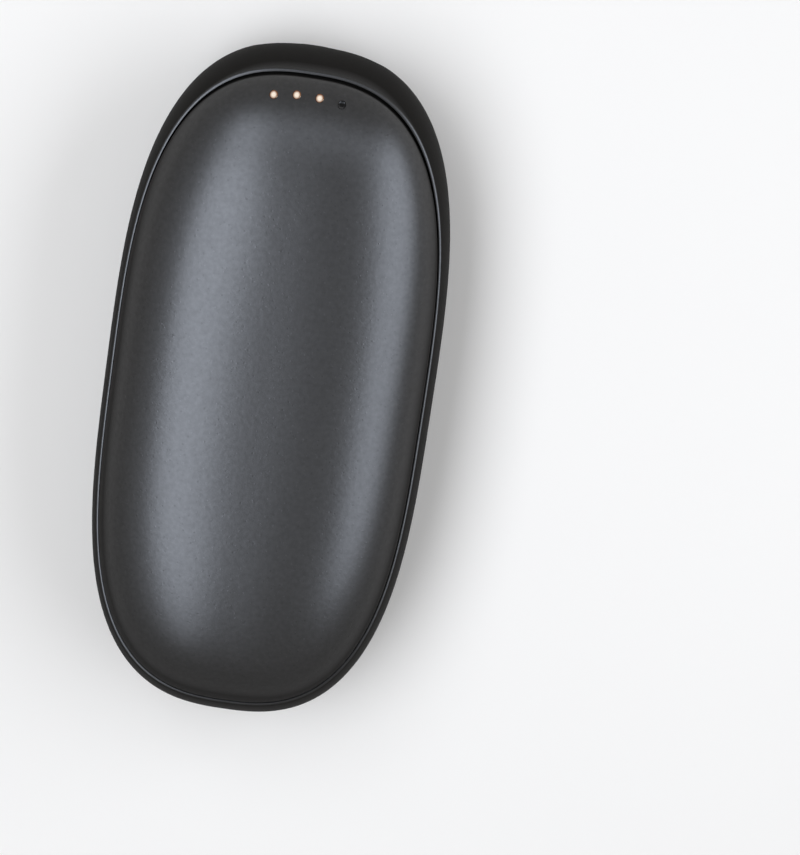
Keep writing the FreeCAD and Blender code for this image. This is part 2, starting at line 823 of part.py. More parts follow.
def cell(name, side):
    """A round cell: bevelled can with a rolled groove under its crimp, and a raised cap."""
    radius = s.cell_diameter / 2
    groove = can_length - s.cell_groove_place
    profile = [
        (ZERO, ZERO),
        (radius - s.cell_bevel, ZERO),
        (radius, s.cell_bevel),
        (radius, groove - s.cell_groove),
        (radius - s.cell_groove, groove),
        (radius, groove + s.cell_groove),
        (radius, can_length - s.cell_bevel),
        (radius - s.cell_shoulder, can_length),
        (s.cell_cap_diameter / 2, can_length),
        (s.cell_cap_diameter / 2, s.cell_length),
        (ZERO, s.cell_length),
    ]
    return turned(name, profile, side * cell_side, -s.cell_back, s.cell_height, Y_UP)


def cell_sleeve(name, side):
    """The shrink sleeve round a can."""
    inner = s.cell_diameter / 2 + s.sleeve_clear
    outer = inner + s.sleeve_thickness
    profile = rectangle((inner, outer), (s.cell_bevel, can_length - s.cell_bevel))
    return turned(name, profile, side * cell_side, -s.cell_back, s.cell_height, Y_UP)


def insulator_rings():
    """Card washers round both caps."""
    inner = s.cell_cap_diameter / 2 + s.ring_clear
    outer = s.cell_diameter / 2 - s.cell_shoulder - s.ring_clear
    profile = rectangle((inner, outer), (ZERO, s.ring_thickness))
    rings = [
        turned(f"ring_{side}", profile, side * cell_side, can_length - s.cell_back, s.cell_height, Y_UP)
        for side in (-1, 1)
    ]
    return group("insulator_rings", rings)


def strip_body(name, y, tab):
    """A nickel strip across both cells, with or without a tab that rises between them."""
    reach = cell_side + s.strip_end
    low, high = s.cell_height - s.strip_height / 2, s.cell_height + s.strip_height / 2
    corners = rectangle((-reach, reach), (low, high))
    if tab:
        half = s.strip_tab_width / 2
        peak = s.cell_height + s.strip_tab_height
        corners[3:3] = [(half, high), (half, peak), (-half, peak), (-half, high)]
    body = new_body(name)
    pad_along_y(body, f"{name}_pad", y, lambda sketch: draw_polygon(sketch, corners))
    return body


def cell_cradle():
    """Two yokes that carry both cells, joined by a spine between them."""
    seat = pebble("cradle_seat", s.wall + s.seat_clear, None, s.cell_height)
    yoke_places = [(yoke_back, yoke_back + s.yoke_thickness), (yoke_front - s.yoke_thickness, yoke_front)]
    slabs = [
        box(f"yoke_slab_{number}", (-s.half_width, s.half_width), y, (ZERO, s.cell_height))
        for number, y in enumerate(yoke_places)
    ]
    yokes = [common(f"yoke_{number}", slab, seat) for number, slab in enumerate(slabs)]
    spine = box(
        "spine", (-s.spine_width / 2, s.spine_width / 2), (yoke_back, yoke_front),
        (s.spine_floor, s.spine_floor + s.spine_height))
    bores = [
        rod(f"cell_bore_{side}", side * cell_side, -s.cell_back - s.overrun, s.cell_height,
            2 * (sleeve_radius + s.cradle_clear), s.cell_length + 2 * s.overrun, Y_UP)
        for side in (-1, 1)
    ]
    window = box(
        "lead_window", (-s.lead_window_width / 2, s.lead_window_width / 2),
        (yoke_front - s.yoke_thickness - s.overrun, yoke_front + s.overrun), (ZERO, s.lead_window_height))
    return cut("cell_cradle", fuse("cradle_form", [*yokes, spine]), fuse("cradle_cuts", [*bores, window]))


# Board


def main_board():
    """The circuit board, shaped to the end of the tub."""
    slab = box(
        "board_slab", (-s.half_width, s.half_width), (s.board_back, board_front), (s.board_low, board_top))
    inset = s.wall + s.board_edge_clear
    form = pebble("board_form", inset, s.board_low - s.overrun, board_top + s.overrun)
    holes = [
        rod(f"board_hole_{side}", side * s.post_place_x, s.post_place_y, s.board_low - s.overrun,
            s.screw_diameter + 2 * s.screw_hole_clear, s.board_thickness + 2 * s.overrun)
        for side in (-1, 1)
    ]
    return cut("main_board", common("board_plate", slab, form), fuse("board_holes", holes))


def board_screws():
    """Two self-tapping screws that hold the board to its posts."""
    radius, head = s.screw_diameter / 2, s.screw_head_diameter / 2
    thread_radius = s.pilot_diameter / 2 - s.sleeve_clear
    profile = [
        (ZERO, -s.screw_length),
        (thread_radius, s.screw_point - s.screw_length),
        (thread_radius, -s.board_thickness),
        (radius, -s.board_thickness),
        (radius, ZERO),
        (head, ZERO),
        (head, s.screw_head_height),
        (s.screw_recess_diameter / 2, s.screw_head_height),
        (s.screw_recess_diameter / 2, s.screw_head_height - s.screw_recess),
        (ZERO, s.screw_head_height - s.screw_recess),
    ]
    return group("board_screws", [
        turned(f"screw_{side}", profile, side * s.post_place_x, s.post_place_y, board_top)
        for side in (-1, 1)
    ])


def socket_shell():
    """The socket's steel tube."""
    body = new_body("socket_shell")

    def draw(sketch):
        for inset in (ZERO, s.socket_skin):
            width, height = s.socket_width - 2 * inset, s.socket_height - 2 * inset
            draw_slot(sketch, s.socket_place, socket_middle, width, height)

    pad_along_y(body, "socket_tube", (socket_front - s.socket_length, socket_front), draw)
    return body


def socket_insulator():
    """The socket's plastic floor and the thin tongue that carries its contacts."""
    body = new_body("socket_insulator")
    back = socket_front - s.socket_length
    inside = s.socket_skin + s.layer_clear
    pad_along_y(body, "socket_floor", (back, back + s.socket_floor), lambda sketch: draw_slot(
        sketch, s.socket_place, socket_middle, s.socket_width - 2 * inside, s.socket_height - 2 * inside))
    half_tongue, half_height = s.socket_tongue_width / 2, s.socket_tongue_height / 2
    tongue = rectangle(
        (s.socket_place - half_tongue, s.socket_place + half_tongue),
        (socket_middle - half_height, socket_middle + half_height))
    pad_along_y(
        body, "socket_tongue", (back, socket_front - s.socket_tongue_set_back),
        lambda sketch: draw_polygon(sketch, tongue))
    return body


def socket_contacts():
    """Rows of contacts on both faces of the socket's tongue."""
    front = socket_front - s.socket_tongue_set_back - s.contact_set_back
    top = socket_middle + s.socket_tongue_height / 2
    bottom = socket_middle - s.socket_tongue_height / 2
    rows = {"top": (top, top + s.contact_height), "bottom": (bottom - s.contact_height, bottom)}
    bars = []
    for number in range(CONTACTS_IN_ROW):
        x = s.socket_place + s.contact_pitch * (number - (CONTACTS_IN_ROW - 1) / 2)
        for face, z in rows.items():
            bars.append(box(
                f"contact_{face}_{number}", (x - s.contact_width / 2, x + s.contact_width / 2),
                (front - s.contact_length, front), z))
    return group("socket_contacts", bars)


def power_button():
    """The button cap, flush with the skin, and the flange that keeps it behind the end wall."""
    flange = obround(
        "button_flange", s.button_place, button_middle, s.button_width + 2 * s.flange_margin,
        s.button_height + 2 * s.flange_margin, (flange_back, flange_front))
    bar = obround(
        "button_bar", s.button_place, button_middle, s.button_width, s.button_height,
        (flange_back, s.half_length))
    skin = pebble(
        "button_skin", s.button_sink, button_middle - s.button_height, button_middle + s.button_height)
    return fuse("power_button", [flange, common("button_cap", bar, skin)])


def switch_body():
    """The switch under the board, with the bore that its plunger slides in."""
    body = new_body("switch_body")
    half = s.switch_width / 2
    x = (s.button_place - half, s.button_place + half)
    z = (s.board_low - s.switch_height, s.board_low)
    bore_depth = s.plunger_seat + s.press_travel + s.press_spare
    bore = s.plunger_diameter + 2 * s.plunger_clear
    bore_end = switch_front - bore_depth

    def draw_block(sketch):
        draw_polygon(sketch, rectangle(x, z))

    def draw_face(sketch):
        draw_block(sketch)
        draw_circle(sketch, s.button_place, button_middle, bore)

    pad_along_y(body, "switch_back", (switch_front - s.switch_depth, bore_end), draw_block)
    pad_along_y(body, "switch_face", (bore_end, switch_front), draw_face)
    return body


def switch_plunger():
    """The switch's sprung plunger, which the button pushes."""
    return rod(
        "switch_plunger", s.button_place, switch_front - s.plunger_seat, button_middle,
        s.plunger_diameter, s.plunger_length + s.plunger_seat, Y_UP)


def indicator_leds():
    """One small light under each guide."""
    across, along = s.led_length / 2, s.led_width / 2
    return group("indicator_leds", [
        box(f"led_{number}", (x - across, x + across), (y - along, y + along),
            (board_top, board_top + s.led_height))
        for number, (x, y) in enumerate(indicator_places())
    ])


def chip(name, x, y, length, width, height):
    """A component block that stands on the board."""
    body = new_body(name)
    corners = rectangle((x - length / 2, x + length / 2), (y - width / 2, y + width / 2))
    pad_upwards(
        body, f"{name}_pad", (board_top, board_top + height), lambda sketch: draw_polygon(sketch, corners))
    return body


def inductor(x, y):
    """The moulded power inductor, with cut-off corners."""
    body = new_body("power_inductor")
    half, corner = s.inductor_size / 2, s.inductor_corner
    near = half - corner
    steps = [(half, near), (near, half), (-near, half), (-half, near),
             (-half, -near), (-near, -half), (near, -half), (half, -near)]
    corners = [(x + across, y + along) for across, along in steps]
    pad_upwards(
        body, "inductor_pad", (board_top, board_top + s.inductor_height),
        lambda sketch: draw_polygon(sketch, corners))
    return body


def chip_row(name, x, y, height):
    """A row of small two-ended chips beside each other."""
    return group(name, [
        chip(f"{name}_{number}", x + number * s.chip_pitch, y, s.chip_width, s.chip_length, height)
        for number in range(CHIPS_IN_ROW)
    ])


def board_components():
    """The components between the screws and the lights, each set off from the board's back edge."""
    back = s.board_back
    mosfets = [
        chip(f"mosfet_{number}", s.mosfet_x, back + s.mosfet_set + number * s.mosfet_pitch,
             s.mosfet_width, s.mosfet_length, s.mosfet_height)
        for number in range(2)
    ]
    return [
        chip("controller_chip", s.controller_x, back + s.controller_set,
             s.controller_size, s.controller_size, s.controller_height),
        chip("charger_chip", s.charger_x, back + s.charger_set,
             s.charger_size, s.charger_size, s.controller_height),
        chip("protection_chip", s.protection_x, back + s.protection_set,
             s.protection_length, s.protection_width, s.mosfet_height),
        group("heater_mosfets", mosfets),
        inductor(s.inductor_x, back + s.inductor_set),
        chip_row("chip_capacitors", s.capacitor_x, back + s.capacitor_set, s.capacitor_height),
        chip_row("chip_resistors", s.resistor_x, back + s.resistor_set, s.resistor_height),
    ]


# Leads and sensors


def film_route(x, start_y, z, landing_y, front):
    """Points of a wire from a heater film, past the ends of the cells, to the board."""
    lap, drop, bend = s.lead_lap.value, s.lead_drop.value, s.lead_bend.value
    if front:
        return [
            Vector(x, start_y, z),
            Vector(x, cell_front.value - lap, z),
            Vector(x, landing_y - bend, z - drop),
            Vector(x, landing_y, z - drop - lap),
            Vector(x, landing_y, board_top.value),
        ]
    return [
        Vector(x, start_y, z),
        Vector(x, cell_front.value, z),
        Vector(x, landing_y, z + drop),
        Vector(x, landing_y, s.board_low.value),
    ]


def heater_leads(name, place_x, front):
    """The pair of leads from a heater film to the board."""
    side = 1 if front else -1
    start_y = (film_y[1] - s.lead_lap).value
    landing_y = (s.board_back + s.heater_landing).value
    gap = (s.heater_lead / 2 + s.lead_clear).value
    z = skin_height(place_x.value, film_y[1].value, film_face.value, front) - side * gap
    wires = [
        lead(film_route(mirror * place_x.value, start_y, z, landing_y, front), s.heater_lead.value)
        for mirror in (-1, 1)
    ]
    return feature(name, Part.makeCompound(wires))


def sensor(name, front):
    """A temperature sensor: a bead on the heater film with two thin leads to the board."""
    side = 1 if front else -1
    radius, length = s.bead_diameter.value / 2, s.bead_length.value
    bead_y = (film_y[1] - s.bead_margin - s.bead_length).value
    z = skin_height(0, bead_y + length, film_face.value, front) - side * (radius + s.lead_clear.value)
    bead = Part.makeCylinder(radius, length, Vector(0, bead_y, z), Vector(0, 1, 0))
    start_y = bead_y + length * BEAD_LEAD_SHARE
    landing_y = (s.board_back + s.sensor_landing).value
    place_x = s.sensor_lead_place.value
    wires = [
        lead(film_route(mirror * place_x, start_y, z, landing_y, front), s.sensor_lead.value)
        for mirror in (-1, 1)
    ]
    return feature(name, bead.fuse(wires))


def positive_lead():
    """The short lead from the positive strip to the board."""
    x, z = s.positive_lead_place.value, (s.cell_height + s.positive_lead_rise).value
    landing_y = (s.board_back + s.power_landing).value
    points = [
        Vector(x, (cell_front + s.strip_thickness).value, z),
        Vector(x, landing_y, z),
        Vector(x, landing_y, board_top.value),
    ]
    return feature("positive_lead", lead(points, s.power_lead.value))


def negative_lead():
    """The long lead between the cells, in two runs that meet at the thermal fuse."""
    z, landing_y = fuse_height.value, (s.board_back + s.power_landing).value
    back_run = [Vector(0, -s.cell_back.value, z), Vector(0, -s.fuse_back.value, z)]
    front_run = [
        Vector(0, (s.fuse_length - s.fuse_back).value, z),
        Vector(0, cell_front.value - s.lead_lap.value, z),
        Vector(0, landing_y, z - s.lead_drop.value),
        Vector(0, landing_y, board_top.value),
    ]
    runs = [lead(points, s.power_lead.value) for points in (back_run, front_run)]
    return feature("negative_lead", Part.makeCompound(runs))


def thermal_fuse():
    """The cut-out that lies in the valley between the cells."""
    radius = s.fuse_diameter / 2
    profile = [
        (ZERO, ZERO),
        (radius, ZERO),
        (radius, s.fuse_length - s.fuse_cone),
        (s.power_lead / 2, s.fuse_length),
        (ZERO, s.fuse_length),
    ]
    return turned("thermal_fuse", profile, ZERO, -s.fuse_back, fuse_height, Y_UP)


# Assembly

nodes = [
    power_button(),
    front_shell(),
    rear_shell(),
    light_guide(),
    *heating_layers("front", True),
    *heating_layers("rear", False),
    cell("left_cell", -1),
    cell("right_cell", 1),
    cell_sleeve("left_cell_sleeve", -1),
    cell_sleeve("right_cell_sleeve", 1),
    insulator_rings(),
    strip_body("positive_strip", (cell_front, cell_front + s.strip_thickness), False),
    strip_body("negative_strip", (-s.cell_back - s.strip_thickness, -s.cell_back), True),
    cell_cradle(),
    thermal_fuse(),
    positive_lead(),
    negative_lead(),
    heater_leads("front_heater_leads", s.front_lead_place, True),
    heater_leads("rear_heater_leads", s.rear_lead_place, False),
    sensor("front_thermistor", True),
    sensor("rear_thermistor", False),
    main_board(),
    board_screws(),
    socket_shell(),
    socket_insulator(),
    socket_contacts(),
    switch_body(),
    switch_plunger(),
    indicator_leds(),
    *board_components(),
]

doc.recompute()
for item in doc.Objects:
    if "Invalid" in item.State or "Error" in item.State:
        raise RuntimeError(f"{item.Name} failed: {item.State}")

os.makedirs("parts", exist_ok=True)
for node in nodes:
    node.Label = node.Name
    shape = node.Shape
    if shape.isNull() or not shape.isValid():
        raise RuntimeError(f"{node.Label} has no valid shape")
    print(f"{node.Label}: {len(shape.Solids)} solids, {shape.Volume:.2f} mm3")
    shape.exportStep(f"parts/{node.Label}.step")
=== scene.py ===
"""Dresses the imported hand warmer: moulded shells, light guides, button, foam pads and every finish."""

import logging
import math
from dataclasses import asdict, dataclass, field
from enum import Enum
from typing import Callable, Iterator, Protocol, Sequence

import bmesh
import bpy
from bpy.types import Material, Node, NodeSocket, NodeTree, Object
from mathutils import Matrix, Vector


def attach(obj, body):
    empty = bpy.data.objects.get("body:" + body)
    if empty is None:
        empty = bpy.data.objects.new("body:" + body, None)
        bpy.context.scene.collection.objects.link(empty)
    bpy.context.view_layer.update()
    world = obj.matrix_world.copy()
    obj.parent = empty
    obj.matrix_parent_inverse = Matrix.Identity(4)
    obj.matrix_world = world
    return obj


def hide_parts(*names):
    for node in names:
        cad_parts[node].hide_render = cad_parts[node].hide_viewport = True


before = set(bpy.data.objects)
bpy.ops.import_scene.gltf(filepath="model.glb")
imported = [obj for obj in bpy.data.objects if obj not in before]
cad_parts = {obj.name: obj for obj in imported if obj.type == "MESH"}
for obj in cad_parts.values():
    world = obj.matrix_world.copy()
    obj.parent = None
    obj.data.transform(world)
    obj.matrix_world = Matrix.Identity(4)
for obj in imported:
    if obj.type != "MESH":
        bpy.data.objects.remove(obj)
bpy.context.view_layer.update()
LOG = logging.getLogger("hand_warmer")
MM = 0.001
BENDS = 6
HALVINGS = 40
FINE_TURNS = 7200
RISE = (0.0, 1.0)
FALL = (1.0, 0.0)
NOISE_RANGE = (0.3, 0.7)
WAVES_PER_TURN = 20
COLOUR_SOCKETS = (6, 7)
COLOUR_RESULT = 2
MAKING_ATTRIBUTES = ("turn", "level", "inset", "share", "lean_x", "lean_y", "local")
Colour = tuple[float, float, float]
Pair = tuple[float, float]
Point = tuple[float, float, float]
Feeds = dict[str | int, object]


class Body(Enum):
    """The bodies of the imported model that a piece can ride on."""

    HOUSING = "housing"
    BUTTON = "button"


# The moulded form


@dataclass(frozen=True)
class Pebble:
    """The rule of the moulded form: superellipses in plan and in profile, in millimetres."""

    half_width: float = 25.0
    half_length: float = 52.0
    crown: float = 28.0
    girth: float = 9.4
    back_flat: float = 0.4
    side_power: float = 2.62
    end_power: float = 3.22
    front_across: Pair = (3.03, 2.59)
    front_along: Pair = (1.78, 5.2)
    back_across: Pair = (3.4, 3.4)
    back_along: Pair = (3.2, 3.4)

    def half_axes(self, level: float) -> Pair:
        """Gives the size of the outline at one level.

        Args:
            level: Height above the rest face.

        Returns:
            Half the width and half the length of the outline.
        """
        front = level >= self.girth
        reach = self.crown - self.girth if front else self.girth + self.back_flat
        across = self.front_across if front else self.back_across
        along = self.front_along if front else self.back_along
        rise = min(abs(level - self.girth) / reach, 1.0)
        width = self.half_width * (1 - rise ** across[0]) ** (1 / across[1])
        length = self.half_length * (1 - rise ** along[0]) ** (1 / along[1])
        return width, length

    def rim(self, level: float) -> Point:
        """Gives half the width and half the length at a level, and the level, as one point."""
        return *self.half_axes(level), level

    def outline(self, turn: float) -> Point:
        """Gives the widest outline's point at an angle parameter in radians."""
        across, along = math.cos(turn), math.sin(turn)
        return (
            math.copysign(self.half_width * abs(across) ** (2 / self.side_power), across),
            math.copysign(self.half_length * abs(along) ** (2 / self.end_power), along), 0.0)

    def front_height(self, x: float, y: float) -> float:
        """Finds the front skin over a point.

        Args:
            x: Place across.
            y: Place along.

        Returns:
            Height of the skin there.
        """
        low, high = self.girth, self.crown
        for _ in range(HALVINGS):
            middle = (low + high) / 2
            width, length = self.half_axes(middle)
            inside = width > 0 and (
                abs(x / width) ** self.side_power + abs(y / length) ** self.end_power < 1)
            low, high = (middle, high) if inside else (low, middle)
        return low

    def end_reach(self, x: float, z: float) -> float:
        """Finds how far along the skin of the end lies, at a place across and a height."""
        width, length = self.half_axes(z)
        return length * (1 - abs(x / width) ** self.side_power) ** (1 / self.end_power)

    def even_turns(self, count: int) -> list[float]:
        """Gives angles from zero whose points lie evenly along the widest outline, without the last."""
        fine = [math.tau * step / FINE_TURNS for step in range(FINE_TURNS + 1)]
        return spread(fine, self.outline, count + 1)[:-1]


def spread(values: Sequence[float], place: Callable[[float], Point], count: int) -> list[float]:
    """Picks values that lie evenly along the path that they trace.

    Args:
        values: Finely stepped values, in order.
        place: Gives the path's point for a value.
        count: Number of values to pick.

    Returns:
        The picked values, with the first and the last among them.
    """
    points = [Vector(place(value)) for value in values]
    run = [0.0]
    for before, after in zip(points, points[1:]):
        run.append(run[-1] + (after - before).length)
    picked, at = [], 0
    for number in range(count):
        target = run[-1] * number / (count - 1)
        while at < len(run) - 1 and run[at] < target:
            at += 1
        picked.append(values[at])
    return picked


def circle(radius: float, around: int) -> list[Pair]:
    """Gives points evenly round a circle."""
    turns = [math.tau * step / around for step in range(around)]
    return [(radius * math.cos(turn), radius * math.sin(turn)) for turn in turns]


def quarter_round(radius: float) -> list[Pair]:
    """Gives the distances of a rounded edge's points from its two faces, in order."""
    turns = [math.pi / 2 * bend / BENDS for bend in range(BENDS + 1)]
    return [(radius * (1 - math.sin(turn)), radius * (1 - math.cos(turn))) for turn in turns]


# Node trees


@dataclass(frozen=True)
class Field:
    """What flows out of a node: geometry, a colour, or a value whose arithmetic adds math nodes."""

    wiring: "Wiring"
    socket: NodeSocket

    def math(self, operation: str, *others: "Field | float") -> "Field":
        """Adds one math node, with this value and others as its operands."""
        return self.wiring.node("ShaderNodeMath", dict(enumerate((self, *others))), operation=operation)

    def __add__(self, other: "Field | float") -> "Field":
        """Adds another value."""
        return self.math("ADD", other)

    def __sub__(self, other: "Field | float") -> "Field":
        """Takes another value away."""
        return self.math("SUBTRACT", other)

    def __rsub__(self, other: float) -> "Field":
        """Takes this value from a number."""
        return self.math("MULTIPLY", -1.0) + other

    def __mul__(self, other: "Field | float") -> "Field":
        """Multiplies by another value."""
        return self.math("MULTIPLY", other)

    def __truediv__(self, other: "Field | float") -> "Field":
        """Divides by another value."""
        return self.math("DIVIDE", other)

    def __rtruediv__(self, other: float) -> "Field":
        """Divides a number by this value."""
        return self.math("POWER", -1.0) * other

    def __pow__(self, other: "Field | float") -> "Field":
        """Raises to a power."""
        return self.math("POWER", other)

    def choose(self, yes: "Field", no: "Field") -> "Field":
        """Gives one value where this one is 1, and the other where it is 0."""
        return no + self * (yes - no)


class Wiring:
    """A node tree under construction."""

    def __init__(self, tree: NodeTree) -> None:
        """Keeps the tree."""
        self.tree = tree

    def feed(self, node: Node, feeds: Feeds) -> None:
        """Feeds a node's inputs.

        Args:
            node: The node.
            feeds: What each input takes, by name or number: a field, a list of fields or a plain value.
        """
        for name, value in feeds.items():
            for source in value if isinstance(value, list) else [value]:
                if isinstance(source, Field):
                    self.tree.links.new(source.socket, node.inputs[name])
                else:
                    node.inputs[name].default_value = source

    def node(self, kind: str, feeds: Feeds, out: str | int = 0, **settings: object) -> Field:
        """Adds a node.

        Args:
            kind: The node's type.
            feeds: What each input takes.
            out: Name or number of the output that is wanted.
            settings: The node's properties.

        Returns:
            That output.
        """
        node = self.tree.nodes.new(kind)
        for name, value in settings.items():
            setattr(node, name, value)
        self.feed(node, feeds)
        return Field(self, node.outputs[out])


class Tree(Wiring):
    """One Geometry Nodes tree with named inputs, ending in Realize Instances and Set Material."""

    def __init__(self, name: str, inputs: dict[str, str]) -> None:
        """Makes the tree.

        Args:
            name: The tree's name.
            inputs: Kind of each named input.
        """
        super().__init__(bpy.data.node_groups.new(name, "GeometryNodeTree"))
        face = self.tree.interface
        face.new_socket("Geometry", in_out="OUTPUT", socket_type="NodeSocketGeometry")
        kinds = {"Geometry": "Geometry", **inputs, "Material": "Material"}
        self.identifiers = {
            label: face.new_socket(label, in_out="INPUT", socket_type=f"NodeSocket{kind}").identifier
            for label, kind in kinds.items()}
        self.source = self.tree.nodes.new("NodeGroupInput")

    def value(self, label: str) -> Field:
        """Gives a named input."""
        return Field(self, self.source.outputs[label])

    def attribute(self, name: str, kind: str = "FLOAT") -> Field:
        """Gives a named attribute of the geometry."""
        return self.node("GeometryNodeInputNamedAttribute", {"Name": name}, "Attribute", data_type=kind)

    def shape_of(self, label: str) -> Field:
        """Gives the geometry of a named input that is an object."""
        return self.node("GeometryNodeObjectInfo", {"Object": self.value(label)}, "Geometry")

    def vector(self, **parts: Field) -> Field:
        """Joins values into a vector, by axis."""
        return self.node("ShaderNodeCombineXYZ", parts)

    def moved(self, geometry: Field, **way: Field) -> Field:
        """Moves geometry to a Position or by an Offset."""
        return self.node("GeometryNodeSetPosition", {"Geometry": geometry, **way})

    def end(self, geometry: Field) -> None:
        """Ends the tree: plain mesh, smooth faces and the material.

        Args:
            geometry: What the tree has built.
        """
        real = self.node("GeometryNodeRealizeInstances", {0: geometry})
        smooth = self.node("GeometryNodeSetShadeSmooth", {0: real})
        dressed = self.node("GeometryNodeSetMaterial", {0: smooth, "Material": self.value("Material")})
        self.feed(self.tree.nodes.new("NodeGroupOutput"), {0: dressed})

    def bake(self, piece: Object, values: dict[str, object]) -> None:
        """Runs the tree on a piece and leaves it a plain mesh.

        Args:
            piece: The object that carries the base mesh.
            values: Value of each named input.
        """
        shape = piece.modifiers.new(self.tree.name, "NODES")
        shape.node_group = self.tree
        for label, value in values.items():
            shape[self.identifiers[label]] = value
        apply_modifiers(piece)


# Meshes


@dataclass(frozen=True)
class Net:
    """Points in millimetres and the faces between them."""

    points: list[Point] = field(default_factory=list)
    faces: list[Sequence[int]] = field(default_factory=list)

    def add(self, other: "Net") -> None:
        """Adds the points and faces of another net.

        Args:
            other: The other net.
        """
        start = len(self.points)
        self.points.extend(other.points)
        self.faces.extend(tuple(start + corner for corner in face) for face in other.faces)


def ring_faces(rings: int, around: int, closed: bool = False) -> Iterator[Sequence[int]]:
    """Gives the quads between rings of points.

    Args:
        rings: Number of rings.
        around: Points in each ring.
        closed: Whether the last ring joins the first.

    Returns:
        The corner numbers of each quad.
    """
    for ring in range(rings if closed else rings - 1):
        low, high = ring * around, (ring + 1) % rings * around
        for step in range(around):
            after = (step + 1) % around
            yield high + step, high + after, low + after, low + step


def tube_faces(rings: int, around: int) -> list[Sequence[int]]:
    """Gives the faces between rings of points, with both ends closed."""
    last = (rings - 1) * around
    return [*ring_faces(rings, around), range(around), range(last + around - 1, last - 1, -1)]


def new_piece(name: str, net: Net) -> Object:
    """Makes an object.

    Args:
        name: The object's name.
        net: Its points and faces.

    Returns:
        The object, linked to the scene.
    """
    mesh = bpy.data.meshes.new(name)
    mesh.from_pydata([Vector(point) * MM for point in net.points], [], net.faces)
    piece = bpy.data.objects.new(name, mesh)
    bpy.context.scene.collection.objects.link(piece)
    return piece


def apply_modifiers(piece: Object) -> None:
    """Turns a piece with modifiers into a plain mesh, and drops what only the making needed.

    Args:
        piece: The object.
    """
    view = bpy.context.evaluated_depsgraph_get()
    mesh = bpy.data.meshes.new_from_object(piece.evaluated_get(view), depsgraph=view)
    piece.modifiers.clear()
    base = piece.data
    piece.data = mesh
    bpy.data.meshes.remove(base)
    mesh.name = piece.name
    for name in MAKING_ATTRIBUTES:
        if name in mesh.attributes:
            mesh.attributes.remove(mesh.attributes[name])


def set_attribute(piece: Object, name: str, values: Sequence[float]) -> None:
    """Stores one number for each vertex of a piece."""
    layer = piece.data.attributes.new(name, "FLOAT", "POINT")
    layer.data.foreach_set("value", list(values))


def settle(piece: Object, finish: Material, sharp: float = 32.0) -> None:
    """Smooths a finished piece, keeps its crisp edges and gives it its material.

    Args:
        piece: The object.
        finish: Its material.
        sharp: Angle in degrees from which an edge stays crisp.
    """
    mesh = piece.data
    mesh.polygons.foreach_set("use_smooth", [True] * len(mesh.polygons))
    mesh.set_sharp_from_angle(angle=math.radians(sharp))
    mesh.materials.clear()
    mesh.materials.append(finish)
    mesh.update()


def seat(piece: Object, body: Body, node: str) -> None:
    """Puts a piece on its body in place of its solid.

    Args:
        piece: The object.
        body: The body that it rides on.
        node: The solid that it stands for.
    """
    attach(piece, body.value)
    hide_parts(node)
    LOG.info("%s: %d faces, rides on %s", piece.name, len(piece.data.polygons), body.value)


# Finishes


class Lines(Enum):
    """The scale of noise along each axis: a small one stretches it into lines or folds."""

    ACROSS = (0.06, 1.0, 1.0)
    ALONG = (1.0, 0.06, 1.0)
    UPRIGHT = (1.0, 1.0, 0.2)
    FOLDS = (1.0, 0.25, 1.0)


